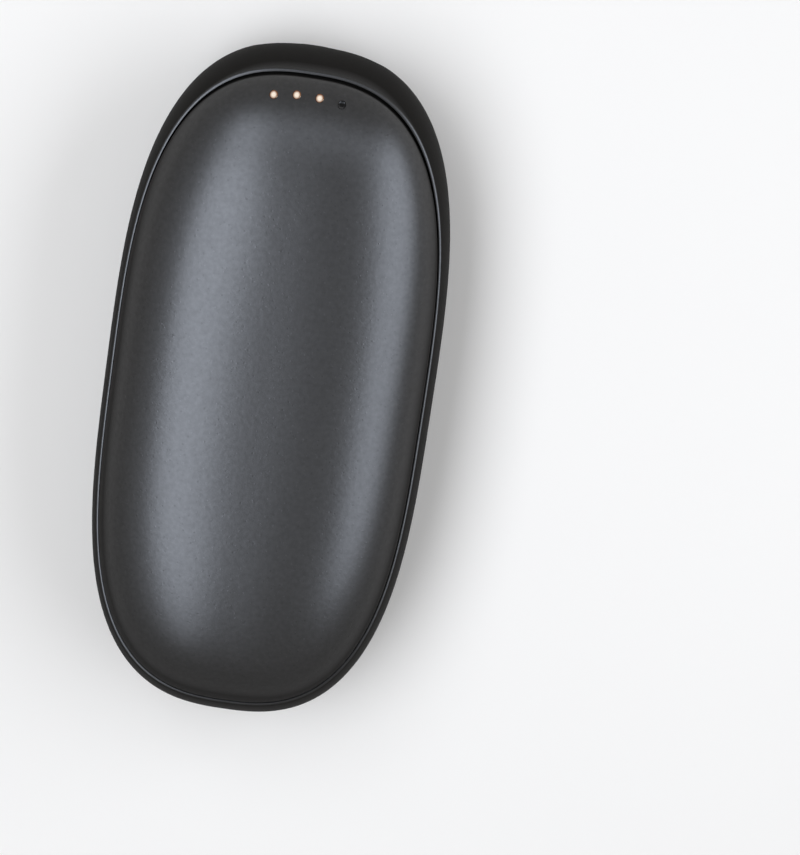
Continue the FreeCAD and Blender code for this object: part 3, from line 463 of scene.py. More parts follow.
class Paint(Wiring):
    """A material under construction: Object coordinates, textures and the surface shader."""

    def __init__(self, name: str) -> None:
        """Makes the material with its shader.

        Args:
            name: The material's name.
        """
        self.material = bpy.data.materials.new(name)
        self.material.use_nodes = True
        super().__init__(self.material.node_tree)
        self.place = self.node("ShaderNodeTexCoord", {}, "Object")

    def noise(self, size: float, detail: float = 3.0, lines: Lines | None = None) -> Field:
        """Adds a noise.

        Args:
            size: Size of its lumps in millimetres.
            detail: Finer layers in it.
            lines: How it is stretched.

        Returns:
            Its value.
        """
        place = self.place
        if lines:
            place = self.node("ShaderNodeMapping", {"Vector": place, "Scale": lines.value})
        return self.node("ShaderNodeTexNoise", {"Vector": place, "Scale": 1 / (size * MM), "Detail": detail})

    def cells(self, size: float) -> Field:
        """Gives the distance to the middle of the nearest cell, for cells of a size in millimetres."""
        return self.node("ShaderNodeTexVoronoi", {"Vector": self.place, "Scale": 1 / (size * MM)}, "Distance")

    def waves(self, size: float, axis: str, bend: float = 0.0) -> Field:
        """Adds a band pattern.

        Args:
            size: Distance between bands in millimetres.
            axis: Axis that the bands follow each other along.
            bend: How far noise bends them.

        Returns:
            The bands' height.
        """
        scale = math.tau / (WAVES_PER_TURN * size * MM)
        return self.node(
            "ShaderNodeTexWave", {"Vector": self.place, "Scale": scale, "Distortion": bend}, "Fac",
            bands_direction=axis)

    def distance(self) -> Field:
        """Gives the distance from the object's middle in metres."""
        return self.node("ShaderNodeVectorMath", {0: self.place}, "Value", operation="LENGTH")

    def turned_away(self) -> Field:
        """Gives 0 where the surface is seen square on and 1 where it is seen edge on."""
        return self.node("ShaderNodeLayerWeight", {}, "Facing")

    def attribute(self, name: str) -> Field:
        """Gives a number that the piece stores for each vertex."""
        return self.node("ShaderNodeAttribute", {}, "Fac", attribute_name=name)

    def span(self, value: Field, results: Pair, values: Pair = RISE) -> Field:
        """Maps a value to another range.

        Args:
            value: The value.
            results: What the range's two ends become.
            values: The range's two ends.

        Returns:
            The mapped value.
        """
        ends = zip(("From Min", "From Max", "To Min", "To Max"), (*values, *results))
        return self.node("ShaderNodeMapRange", {"Value": value, **dict(ends)})

    def blend(self, share: Field, *colours: Colour | Field) -> Field:
        """Mixes two colours.

        Args:
            share: The share of the second.
            colours: The two, plain or from nodes.

        Returns:
            The mixed colour.
        """
        ready = [(*colour, 1.0) if isinstance(colour, tuple) else colour for colour in colours]
        feeds = {0: share, **dict(zip(COLOUR_SOCKETS, ready))}
        return self.node("ShaderNodeMix", feeds, COLOUR_RESULT, data_type="RGBA")

    def relief(self, height: Field, depth: float) -> Field:
        """Bumps the surface by a height, whose 1 stands for a depth in millimetres."""
        return self.node("ShaderNodeBump", {"Height": height, "Distance": depth * MM})

    def skin(self, look: "Moulded | Metal | Sheath", grain: Field, cloud: Field, **more: object) -> Material:
        """Finishes a skin with a clouded colour, and roughness and relief that follow its grain.

        Args:
            look: The finish, with its colours, roughness and depth.
            grain: The grain's height.
            cloud: The cloud's value.
            more: What else the shader takes.

        Returns:
            The material.
        """
        return self.finish(
            Base_Color=self.blend(self.span(cloud, RISE, NOISE_RANGE), look.colour, look.second),
            Roughness=self.span(grain, look.rough, NOISE_RANGE),
            Normal=self.relief(grain, look.depth), **more)

    def finish(self, **values: object) -> Material:
        """Feeds the shader.

        Args:
            values: What each socket takes, by its name with underscores for spaces.

        Returns:
            The material.
        """
        shader = self.tree.nodes["Principled BSDF"]
        self.feed(shader, {name.replace("_", " "): value for name, value in values.items()})
        return self.material


class Finish(Protocol):
    """A finish, which makes its own material."""

    def paint(self) -> Material:
        """Makes the material."""


@dataclass(frozen=True)
class Moulded:
    """Moulded plastic: a slight mottle in the colour and an eroded grain in the skin."""

    name: str
    colour: Colour
    second: Colour
    rough: Pair = (0.42, 0.52)
    grain: float = 0.3
    depth: float = 0.012
    mottle_grains: float = 14.0

    def paint(self) -> Material:
        """Makes the material.

        Returns:
            The material.
        """
        paint = Paint(self.name)
        broad = paint.noise(self.grain * self.mottle_grains, detail=2.0)
        return paint.skin(self, paint.noise(self.grain, detail=4.0), broad)


@dataclass(frozen=True)
class SoftTouch:
    """Soft-touch lacquer over eroded plastic: a satin coat whose gloss dies away at a glancing angle."""

    name: str
    colour: Colour
    second: Colour
    rough: Pair = (0.5, 0.62)
    grain: float = 0.7
    specks: Pair = (0.95, 1.07)
    speck_edge: Pair = (0.06, 0.17)
    speck_share: float = 0.6
    heights: Pair = (0.1, 0.9)
    depth: float = 0.013
    gloss: float = 0.05
    sheen: Pair = (0.72, 0.95)
    sheen_rough: float = 0.34
    sheen_index: float = 2.0
    glance: Pair = (0.2, 0.52)

    def paint(self) -> Material:
        """Makes the material.

        Returns:
            The material.
        """
        paint = Paint(self.name)
        bumps, pits = (paint.span(paint.cells(size), FALL, self.speck_edge) for size in self.specks)
        height = paint.noise(self.grain, detail=1.0) + (bumps - pits) * self.speck_share
        normal = paint.relief(height, self.depth)
        facing = paint.span(paint.turned_away(), FALL, self.glance)
        return paint.finish(
            Base_Color=paint.blend(paint.span(height, RISE, self.heights), self.colour, self.second),
            Roughness=paint.span(height, self.rough, self.heights),
            Normal=normal,
            Specular_IOR_Level=self.gloss,
            Coat_Weight=facing * paint.span(height, self.sheen, self.heights),
            Coat_Normal=normal,
            Coat_Roughness=self.sheen_rough,
            Coat_IOR=self.sheen_index)


@dataclass(frozen=True)
class Metal:
    """Rolled or plated metal with fine lines along one axis."""

    name: str
    colour: Colour
    second: Colour
    rough: Pair = (0.25, 0.38)
    lines: Lines = Lines.ALONG
    line: float = 0.12
    cloud: float = 2.5
    depth: float = 0.002

    def paint(self) -> Material:
        """Makes the material.

        Returns:
            The material.
        """
        paint = Paint(self.name)
        lines = paint.noise(self.line, lines=self.lines)
        return paint.skin(self, lines, paint.noise(self.cloud), Metallic=1.0)


@dataclass(frozen=True)
class HeaterFilm:
    """Amber film with a heating track folded to and fro inside it."""

    name: str = "amber_heater_film"
    film: Colour = (0.36, 0.13, 0.015)
    track: Colour = (0.52, 0.27, 0.12)
    pitch: float = 1.6
    track_edge: Pair = (0.55, 0.62)
    cloud: float = 1.8
    rough: Pair = (0.18, 0.3)
    depth: float = 0.02

    def paint(self) -> Material:
        """Makes the material.

        Returns:
            The material.
        """
        paint = Paint(self.name)
        bands = paint.span(paint.waves(self.pitch, "Y"), RISE, self.track_edge)
        return paint.finish(
            Base_Color=paint.blend(bands, self.film, self.track),
            Roughness=paint.span(paint.noise(self.cloud), self.rough),
            Normal=paint.relief(bands, self.depth))


@dataclass(frozen=True)
class Foam:
    """Open-cell foam, its colour darker towards the middle of each pore as painted shade."""

    name: str = "open_cell_foam"
    colour: Colour = (0.06, 0.06, 0.065)
    second: Colour = (0.1, 0.1, 0.105)
    cell: float = 0.35
    cloud: float = 2.0
    rough: Pair = (0.85, 0.97)
    depth: float = 0.12

    def paint(self) -> Material:
        """Makes the material.

        Returns:
            The material.
        """
        paint = Paint(self.name)
        pores = paint.cells(self.cell)
        return paint.finish(
            # Darker in the middle of each pore, where the relief sinks: painted shade.
            Base_Color=paint.blend(pores, self.colour, self.second),
            Roughness=paint.span(paint.noise(self.cloud), self.rough),
            Normal=paint.relief(pores, self.depth))


@dataclass(frozen=True)
class BoardMask:
    """Solder mask over woven glass, with faint tracks."""

    name: str = "board_mask"
    mask: Colour = (0.004, 0.055, 0.022)
    track: Colour = (0.01, 0.12, 0.045)
    pitch: float = 0.9
    bend: float = 2.5
    track_edge: Pair = (0.6, 0.68)
    thread: float = 0.35
    rough: Pair = (0.24, 0.36)
    depth: float = 0.01

    def paint(self) -> Material:
        """Makes the material.

        Returns:
            The material.
        """
        paint = Paint(self.name)
        tracks = paint.span(paint.waves(self.pitch, "X", self.bend), RISE, self.track_edge)
        weave = paint.waves(self.thread, "X") * paint.waves(self.thread, "Y")
        return paint.finish(
            Base_Color=paint.blend(tracks, self.mask, self.track),
            Roughness=paint.span(weave, self.rough),
            Normal=paint.relief(weave, self.depth))


@dataclass(frozen=True)
class Sheath:
    """Soft insulation or shrink film, slightly wrinkled along one axis."""

    name: str
    colour: Colour
    second: Colour
    rough: Pair = (0.3, 0.42)
    wrinkle: float = 1.4
    cloud: float = 4.0
    depth: float = 0.03

    def paint(self) -> Material:
        """Makes the material.

        Returns:
            The material.
        """
        paint = Paint(self.name)
        folds = paint.noise(self.wrinkle, lines=Lines.FOLDS)
        return paint.skin(self, folds, paint.noise(self.cloud, detail=2.0))


@dataclass(frozen=True)
class Glow:
    """Clear light guide, lit where its attribute says so, with a warm fall-off to the rim of its tip.

    Lit tips also carry a pale warm base colour as painted glow, and the unlit tip's colour darkens towards
    its dished middle as painted shade.
    """

    name: str = "light_guide"
    # The unlit tip runs from the clear colour in its middle to the edge colour at its rim: the darker middle
    # is painted shade of the dish.
    clear: Colour = (0.0035, 0.0034, 0.0033)
    edge: Colour = (0.009, 0.0085, 0.008)
    # Pale warm base colour that only the lit tips carry: painted glow.
    frost: Colour = (0.24, 0.2, 0.155)
    core: Colour = (0.95, 0.82, 0.68)
    rim: Colour = (0.26, 0.1, 0.035)
    rim_start: Pair = (0.42, 0.95)
    strength: float = 0.78
    ripple: float = 0.25
    rough: Pair = (0.14, 0.22)
    depth: float = 0.01

    def paint(self) -> Material:
        """Makes the material.

        Returns:
            The material.
        """
        paint = Paint(self.name)
        lit = paint.attribute("lit")
        fall = paint.span(paint.attribute("rim"), RISE, self.rim_start)
        ripple = paint.noise(self.ripple, detail=2.0)
        return paint.finish(
            # Base colour: lit tips pale warm in the middle as painted glow, the unlit tip darker towards its
            # middle as painted shade.
            Base_Color=paint.blend(
                lit, paint.blend(fall, self.clear, self.edge), paint.blend(fall, self.frost, self.clear)),
            Roughness=paint.span(ripple, self.rough),
            Normal=paint.relief(ripple, self.depth),
            Emission_Color=paint.blend(fall, self.core, self.rim),
            Emission_Strength=lit * self.strength)


@dataclass(frozen=True)
class Palette:
    """The finish of each material slot."""

    front: SoftTouch = SoftTouch("soft_touch_charcoal", (0.0142, 0.0127, 0.0112), (0.0168, 0.0151, 0.0134))
    rear: SoftTouch = SoftTouch(
        "satin_black_tub", (0.0105, 0.0094, 0.008), (0.0135, 0.0121, 0.0104), rough=(0.55, 0.66), grain=0.3,
        specks=(0.55, 0.63), depth=0.008, gloss=0.03, sheen=(0.76, 0.95), sheen_rough=0.3,
        glance=(0.12, 0.45))
    button: Moulded = Moulded(
        "button_rubber", (0.011, 0.01, 0.009), (0.016, 0.0145, 0.013), (0.5, 0.62), 0.18)
    guide: Glow = Glow()
    foam: Foam = Foam()

    def inner(self) -> dict[str, Finish]:
        """Gives the finishes of the pieces that keep their solids, by slot.

        Returns:
            The finish of each slot.
        """
        return {
            "spreader": Metal("rolled_aluminium", (0.62, 0.63, 0.64), (0.7, 0.7, 0.71), (0.3, 0.45)),
            "heater_film": HeaterFilm(),
            "cell_can": Metal("nickel_plated_can", (0.58, 0.57, 0.54), (0.66, 0.65, 0.62)),
            "cell_sleeve": Sheath("shrink_sleeve", (0.02, 0.09, 0.3), (0.03, 0.12, 0.36)),
            "card": Moulded("barley_card", (0.5, 0.47, 0.38), (0.58, 0.55, 0.46), (0.75, 0.88), 0.4, 0.02),
            "nickel": Metal(
                "nickel_strip", (0.55, 0.54, 0.5), (0.63, 0.62, 0.58), (0.22, 0.34), Lines.ACROSS),
            "cradle": Moulded("cradle_nylon", (0.05, 0.051, 0.053), (0.065, 0.066, 0.068), (0.5, 0.6)),
            "board": BoardMask(),
            "screw": Metal("zinc_screw", (0.46, 0.46, 0.47), (0.55, 0.55, 0.55), (0.28, 0.4), Lines.UPRIGHT),
            "socket_steel": Metal("socket_steel", (0.56, 0.56, 0.57), (0.64, 0.64, 0.65), (0.2, 0.32)),
            "socket_plastic": Moulded(
                "socket_plastic", (0.012, 0.012, 0.013), (0.02, 0.02, 0.021), (0.4, 0.5), 0.2),
            "contact": Metal("gold_contact", (0.83, 0.58, 0.21), (0.9, 0.66, 0.28), (0.16, 0.26)),
            "switch": Moulded("switch_case", (0.02, 0.02, 0.021), (0.03, 0.03, 0.031), (0.42, 0.55)),
            "plunger": Moulded("switch_plunger", (0.55, 0.54, 0.5), (0.62, 0.61, 0.57), (0.38, 0.48)),
            "led": Moulded("led_lens", (0.72, 0.68, 0.5), (0.8, 0.76, 0.58), (0.2, 0.32), 0.2, 0.006),
            "chip": Moulded("chip_epoxy", (0.012, 0.012, 0.0125), (0.018, 0.018, 0.019), (0.5, 0.62), 0.12),
            "inductor": Moulded(
                "inductor_ferrite", (0.05, 0.048, 0.046), (0.07, 0.068, 0.065), (0.55, 0.7), 0.25, 0.03),
            "capacitor": Moulded(
                "ceramic_capacitor", (0.3, 0.2, 0.12), (0.36, 0.25, 0.16), (0.34, 0.46), 0.2),
            "resistor": Moulded(
                "chip_resistor", (0.016, 0.016, 0.017), (0.024, 0.024, 0.025), (0.3, 0.42), 0.2),
            "sensor": Sheath("sensor_varnish", (0.3, 0.17, 0.04), (0.36, 0.21, 0.06), (0.16, 0.28)),
            "fuse": Metal("fuse_case", (0.5, 0.49, 0.46), (0.58, 0.57, 0.53), (0.3, 0.42)),
            "red_lead": Sheath("red_lead", (0.42, 0.012, 0.01), (0.5, 0.02, 0.016)),
            "black_lead": Sheath("black_lead", (0.012, 0.012, 0.012), (0.02, 0.02, 0.02)),
            "white_lead": Sheath("white_lead", (0.62, 0.61, 0.58), (0.7, 0.69, 0.66)),
        }


# Sub-assemblies


@dataclass(frozen=True)
class Opening:
    """An obround opening in the end wall, with a rounded edge, in millimetres."""

    middle_x: float
    middle_z: float
    width: float
    height: float
    edge: float = 0.3
    steps: int = 96

    def ring(self, spare: float) -> list[Pair]:
        """Gives points round the opening.

        Args:
            spare: How far they lie outside it.

        Returns:
            Places across and up, in order round the end wall.
        """
        radius = self.height / 2
        straight = self.width / 2 - radius
        points = []
        for step in range(self.steps):
            turn = math.tau * (step + 0.5) / self.steps
            shift = math.copysign(straight, math.cos(turn))
            points.append((
                self.middle_x + shift + (radius + spare) * math.cos(turn),
                self.middle_z + (radius + spare) * math.sin(turn)))
        return points

    def cutter(self, near: float, far: float) -> Net:
        """Gives the prism that makes room for the opening and its edge, between two places along."""
        points = [(x, y, z) for y in (near, far) for x, z in self.ring(self.edge)]
        return Net(points, tube_faces(2, self.steps))

    def collar(self, pebble: Pebble, back: float) -> Net:
        """Gives the wall of the opening with its rounded edge, as a closed ring.

        Args:
            pebble: The moulded form.
            back: Where the wall ends inside.

        Returns:
            Its points and faces.
        """
        points = [
            (x, pebble.end_reach(x, z) - sink, z)
            for spare, sink in quarter_round(self.edge) for x, z in self.ring(spare)]
        points += [(x, back, z) for spare in (0.0, self.edge) for x, z in self.ring(spare)]
        return Net(points, list(ring_faces(len(points) // self.steps, self.steps, closed=True)))


@dataclass(frozen=True)
class ShellMaker:
    """Lays stations of a shell's profile round the moulded form with one Geometry Nodes tree."""

    pebble: Pebble
    around: int = 320
    weld: float = 0.0001

    def tree(self) -> Tree:
        """Builds the tree: the pebble's rule as math nodes, then the openings.

        Returns:
            The tree.
        """
        tree = Tree("pebble_shell", {**dict.fromkeys(self.inputs(), "Float"), "Openings": "Object"})
        level, inset, share, turn = map(tree.attribute, ("level", "inset", "share", "turn"))
        girth, scale = tree.value("Girth"), tree.value("Unit")
        front = level.math("GREATER_THAN", girth)
        reach = front.choose(tree.value("Crown") - girth, girth + tree.value("Back Flat")) - inset
        rise = ((level - girth).math("ABSOLUTE") / reach).math("MINIMUM", 1.0)

        def axis(half: str, way: str) -> Field:
            """Gives half the width or the length at each point's level."""
            first, second = (
                front.choose(tree.value(f"Front {way} {rank}"), tree.value(f"Back {way} {rank}"))
                for rank in ("First", "Second"))
            return (tree.value(half) - inset) * (1.0 - rise ** first) ** (1.0 / second)

        def reach_of(part: Field, power: str) -> Field:
            """Gives the superellipse's reach for a cosine or a sine."""
            return part.math("SIGN") * part.math("ABSOLUTE") ** (2.0 / tree.value(power))

        x = axis("Half Width", "Across") * reach_of(turn.math("COSINE"), "Side Power") * share * scale
        y = axis("Half Length", "Along") * reach_of(turn.math("SINE"), "End Power") * share * scale
        laid = tree.moved(tree.value("Geometry"), Position=tree.vector(X=x, Y=y, Z=level * scale))
        merged = tree.node("GeometryNodeMergeByDistance", {"Geometry": laid, "Distance": self.weld * MM})
        tree.end(tree.node(
            "GeometryNodeMeshBoolean", {0: merged, 1: tree.shape_of("Openings")},
            operation="DIFFERENCE", solver="EXACT"))
        return tree

    def inputs(self) -> dict[str, float]:
        """Gives the value of each of the tree's sizes and powers, named after the form's fields.

        Returns:
            Each value under its input's name.
        """
        values = {"Unit": MM}
        for name, value in asdict(self.pebble).items():
            label = name.replace("_", " ").title()
            if isinstance(value, tuple):
                values[f"{label} First"], values[f"{label} Second"] = value
            else:
                values[label] = value
        return values

    def make(
            self, name: str, profile: Sequence[Point], openings: Object, tree: Tree,
            finish: Material) -> Object:
        """Makes one shell.

        Args:
            name: The piece's name.
            profile: Level, inset and share of each station, inner or outer pole first.
            openings: Closed prisms that are cut out of it.
            tree: The tree of this maker.
            finish: The shell's material.

        Returns:
            The shell as a plain mesh.
        """
        turns = self.pebble.even_turns(self.around)
        points = [(turn, level, inset) for level, inset, _ in profile for turn in turns]
        shell = new_piece(name, Net(points, list(ring_faces(len(profile), self.around))))
        for label, column in zip(("level", "inset", "share"), zip(*profile)):
            set_attribute(shell, label, [value for value in column for _ in turns])
        set_attribute(shell, "turn", turns * len(profile))
        tree.bake(shell, {**self.inputs(), "Openings": openings, "Material": finish})
        bpy.data.objects.remove(openings)
        return shell


@dataclass(frozen=True)
class FrontShell:
    """The domed cover, with a rounded lower edge and four light holes, in millimetres."""

    pebble: Pebble
    bottom: float = 19.25
    edge: float = 0.7
    wall: float = 1.6
    rebate_inset: float = 0.75
    rebate_top: float = 20.3
    hole: float = 0.61
    hole_over: float = 2.0
    hole_under: float = 5.0
    hole_steps: int = 40
    rings: int = 92
    inner_rings: int = 10
    fine_steps: int = 4000
    pole_steps: int = 330
    pole_power: int = 5
    inner_power: int = 3

    def profile(self) -> list[Point]:
        """Gives the stations from the crown outside, round the edge, to the crown inside.

        Returns:
            Level, inset and share of each station.
        """
        form = self.pebble
        drop = form.crown - self.bottom - self.edge
        shares = [step / self.fine_steps for step in range(self.pole_steps, self.fine_steps + 1)]
        fine = [form.crown - drop * share ** self.pole_power for share in shares]
        stations = [(form.crown, 0.0, 0.0)]
        stations += [(level, 0.0, 1.0) for level in spread(fine, form.rim, self.rings)]
        stations += [(self.bottom + rise, inset, 1.0) for rise, inset in quarter_round(self.edge)[1:]]
        stations += [
            (self.bottom, self.rebate_inset, 1.0), (self.rebate_top, self.rebate_inset, 1.0),
            (self.rebate_top, self.wall, 1.0)]
        ceiling = form.crown - self.wall
        inside = [1 - step / self.inner_rings for step in range(1, self.inner_rings)]
        stations += [
            (ceiling - (ceiling - self.rebate_top) * share ** self.inner_power, self.wall, 1.0)
            for share in inside]
        return stations + [(ceiling, self.wall, 0.0)]

    def holes(self, places: Sequence[Point]) -> Object:
        """Makes the rods that are cut out for the light guides.

        Args:
            places: Centres of the guides.

        Returns:
            The rods as one object.
        """
        rods = Net()
        for x, y, z in places:
            points = [
                (x + across, y + along, level) for level in (z + self.hole_over, z - self.hole_under)
                for across, along in circle(self.hole, self.hole_steps)]
            rods.add(Net(points, tube_faces(2, self.hole_steps)))
        return new_piece("light_holes", rods)

    def build(self, maker: ShellMaker, tree: Tree, places: Sequence[Point], finish: Material) -> None:
        """Builds and seats the cover.

        Args:
            maker: Lays the profile round the form.
            tree: The maker's tree.
            places: Centres of the light guides.
            finish: Its material.
        """
        cover = maker.make("domed_cover", self.profile(), self.holes(places), tree, finish)
        settle(cover, finish)
        seat(cover, Body.HOUSING, "front_shell")


@dataclass(frozen=True)
class RearShell:
    """The tub: a lip, a shadow gap, a tongue, a flat back and two openings in its end, in millimetres."""

    pebble: Pebble
    lip: float = 18.75
    lip_round: float = 0.24
    lip_width: float = 0.3
    lip_break: float = 0.04
    gap_depth: float = 1.6
    tongue_inset: float = 0.85
    tongue_top: float = 20.1
    wall: float = 1.6
    collar_back: float = 49.2
    cut_inside: float = 6.0
    cut_outside: float = 2.0
    rings: int = 84
    inner_rings: int = 8
    fine_steps: int = 4000
    floor_shares: tuple[float, ...] = (0.0, 0.5, 1.0)
    back_shares: tuple[float, ...] = (0.9, 0.7, 0.45, 0.2, 0.0)
    socket_opening: Opening = Opening(5.5, 7.8, 9.34, 3.6)
    button_opening: Opening = Opening(-6.0, 7.7, 7.3, 3.9)

    def profile(self) -> list[Point]:
        """Gives the stations from the floor inside, over the tongue and lip, to the middle of the back.

        Returns:
            Level, inset and share of each station.
        """
        floor, gap_floor = self.wall, self.lip - self.gap_depth
        rise = self.tongue_top - floor
        stations = [(floor, self.wall, share) for share in self.floor_shares]
        stations += [
            (floor + rise * (step / self.inner_rings) ** 2, self.wall, 1.0)
            for step in range(1, self.inner_rings + 1)]
        stations += [
            (self.tongue_top, self.tongue_inset, 1.0), (gap_floor, self.tongue_inset, 1.0),
            (gap_floor, self.lip_width, 1.0), (self.lip - self.lip_break, self.lip_width, 1.0),
            (self.lip, self.lip_width - self.lip_break, 1.0)]
        stations += [(self.lip - fall, inset, 1.0) for fall, inset in reversed(quarter_round(self.lip_round))]
        high = self.lip - self.lip_round
        fine = [high * (1 - step / self.fine_steps) for step in range(self.fine_steps + 1)]
        stations += [(level, 0.0, 1.0) for level in spread(fine, self.pebble.rim, self.rings)[1:]]
        return stations + [(0.0, 0.0, share) for share in self.back_shares]

    def build(self, maker: ShellMaker, tree: Tree, finish: Material) -> None:
        """Builds and seats the tub.

        Args:
            maker: Lays the profile round the form.
            tree: The maker's tree.
            finish: Its material.
        """
        prisms, collars = Net(), Net()
        near, far = self.collar_back - self.cut_inside, self.pebble.half_length + self.cut_outside
        for opening in (self.socket_opening, self.button_opening):
            prisms.add(opening.cutter(near, far))
            collars.add(opening.collar(self.pebble, self.collar_back))
        tub = maker.make("rear_tub", self.profile(), new_piece("end_openings", prisms), tree, finish)
        rims = new_piece("opening_rims", collars)
        joined = bmesh.new()
        joined.from_mesh(tub.data)
        joined.from_mesh(rims.data)
        joined.to_mesh(tub.data)
        joined.free()
        bpy.data.objects.remove(rims)
        settle(tub, finish)
        seat(tub, Body.HOUSING, "rear_shell")


@dataclass(frozen=True)
class Indicators:
    """Four light guides on one bar, on an arc that follows the end, in millimetres."""

    pebble: Pebble
    count: int = 4
    lit: int = 3
    place: float = 45.3
    arc: float = 26.0
    pitch: float = 3.36
    radius: float = 0.55
    stem: float = 10.6
    dish: float = 0.17
    tip_edge: float = 0.06
    tip_shares: tuple[float, ...] = (0.1, 0.25, 0.4, 0.52, 0.64, 0.76, 0.88, 0.97)
    lean_depth: float = 1.0
    slope_step: float = 0.05
    bar_low: float = 18.2
    bar_high: float = 19.6
    bar_width: float = 1.2
    around: int = 32

    def places(self) -> list[Point]:
        """Gives the middle of each guide's tip.

        Returns:
            Places across, along and up.
        """
        middle = self.place - self.arc
        turns = [self.pitch / self.arc * (number - (self.count - 1) / 2) for number in range(self.count)]
        spots = [(self.arc * math.sin(turn), middle + self.arc * math.cos(turn)) for turn in turns]
        return [(x, y, self.pebble.front_height(x, y)) for x, y in spots]

    def slope(self, x: float, y: float, across: float, along: float) -> float:
        """Finds how steeply the front skin rises.

        Args:
            x: Place across.
            y: Place along.
            across: Length of a step across, or 0.
            along: Length of a step along, or 0.

        Returns:
            The rise for each unit of that step.
        """
        ahead = self.pebble.front_height(x + across, y + along)
        behind = self.pebble.front_height(x - across, y - along)
        return (ahead - behind) / (2 * (across + along))

    def rod(self) -> Object:
        """Makes one guide round the vertical axis, its tip's edge at zero and its middle dished.

        Returns:
            The guide.
        """
        rings = [(self.radius * share, self.dish * (share * share - 1)) for share in self.tip_shares]
        rings += [(self.radius, -self.tip_edge), (self.radius, -self.stem)]
        points = [(x, y, z) for reach, z in rings for x, y in circle(reach, self.around)]
        rod = new_piece("guide_rod", Net(points, tube_faces(len(rings), self.around)))
        set_attribute(rod, "rim", [reach / self.radius for reach, _ in rings for _ in range(self.around)])
        return rod

    def tree(self) -> Tree:
        """Builds the tree that repeats the guide on points, leans each tip with the skin and adds the bar.

        Returns:
            The tree.
        """
        tree = Tree("guide_row", {
            "Guide": "Object", "Bar Width": "Float", "Bar Height": "Float", "Bar Drop": "Float"})
        spots = tree.value("Geometry")
        guide = tree.node("GeometryNodeStoreNamedAttribute", {
            "Geometry": tree.shape_of("Guide"), "Name": "local",
            "Value": tree.node("GeometryNodeInputPosition", {})}, data_type="FLOAT_VECTOR", domain="POINT")
        row = tree.node("GeometryNodeInstanceOnPoints", {"Points": spots, "Instance": guide})
        real = tree.node("GeometryNodeRealizeInstances", {0: row})
        local = tree.attribute("local", "FLOAT_VECTOR")
        x, y, z = (tree.node("ShaderNodeSeparateXYZ", {0: local}, axis) for axis in "XYZ")
        tip = z.math("GREATER_THAN", -self.lean_depth * MM)
        lift = (tree.attribute("lean_x") * x + tree.attribute("lean_y") * y) * tip
        leant = tree.moved(real, Offset=tree.vector(Z=lift))

        line = tree.node("GeometryNodeMeshToCurve", {"Mesh": spots})
        section = tree.node("GeometryNodeCurvePrimitiveQuadrilateral", {
            "Width": tree.value("Bar Width"), "Height": tree.value("Bar Height")})
        bar = tree.node("GeometryNodeCurveToMesh", {
            "Curve": tree.moved(line, Offset=tree.vector(Z=tree.value("Bar Drop"))),
            "Profile Curve": section, "Fill Caps": True})
        tree.end(tree.node("GeometryNodeJoinGeometry", {0: [bar, leant]}))
        return tree

    def build(self, finish: Material) -> None:
        """Builds and seats the guides.

        Args:
            finish: Their material.
        """
        spots, step = self.places(), self.slope_step
        row = new_piece("light_guides", Net(spots))
        row.data.edges.add(self.count - 1)
        for number, edge in enumerate(row.data.edges):
            edge.vertices = (number, number + 1)
        set_attribute(row, "lit", [1.0 if number < self.lit else 0.0 for number in range(self.count)])
        set_attribute(row, "lean_x", [self.slope(x, y, step, 0.0) for x, y, _ in spots])
        set_attribute(row, "lean_y", [self.slope(x, y, 0.0, step) for x, y, _ in spots])
        rod = self.rod()
        middle = (self.bar_low + self.bar_high) / 2
        self.tree().bake(row, {
            "Guide": rod, "Bar Width": self.bar_width * MM, "Bar Height": (self.bar_high - self.bar_low) * MM,
            "Bar Drop": (middle - spots[0][2]) * MM, "Material": finish})
        bpy.data.objects.remove(rod)
        settle(row, finish)
        seat(row, Body.HOUSING, "light_guide")


@dataclass(frozen=True)
class PowerButton:
    """The button cap: a dished face, a rounded edge and a hidden flange, in millimetres."""

    pebble: Pebble
    shape: Opening = Opening(-6.0, 7.7, 7.0, 3.6, 0.35)
    sink: float = 0.05
    dish: float = 0.18
    face_shares: tuple[float, ...] = (0.04, 0.25, 0.45, 0.62, 0.76, 0.88, 1.0)
    flange_front: float = 48.92
    flange_back: float = 48.22
    flange_margin: float = 0.7

    def build(self, finish: Material) -> None:
        """Builds and seats the cap.

        Args:
            finish: Its material.
        """
        shape, points = self.shape, []
        middle = (shape.middle_x, shape.middle_z)
        for share in self.face_shares:
            sink = self.sink + self.dish * (1 - share * share) ** 2
            for brim in shape.ring(-shape.edge):
                x, z = (at + (edge - at) * share for at, edge in zip(middle, brim))
                points.append((x, self.pebble.end_reach(x, z) - sink, z))
        points += [
            (x, self.pebble.end_reach(x, z) - self.sink - sink, z)
            for spare, sink in quarter_round(shape.edge)[1:] for x, z in shape.ring(-spare)]
        flange = (
            (0.0, self.flange_front), (self.flange_margin, self.flange_front),
            (self.flange_margin, self.flange_back))
        points += [(x, y, z) for spare, y in flange for x, z in shape.ring(spare)]
        faces = [tuple(reversed(face)) for face in tube_faces(len(points) // shape.steps, shape.steps)]
        cap = new_piece("button_cap", Net(points, faces))
        settle(cap, finish)
        seat(cap, Body.BUTTON, "power_button")


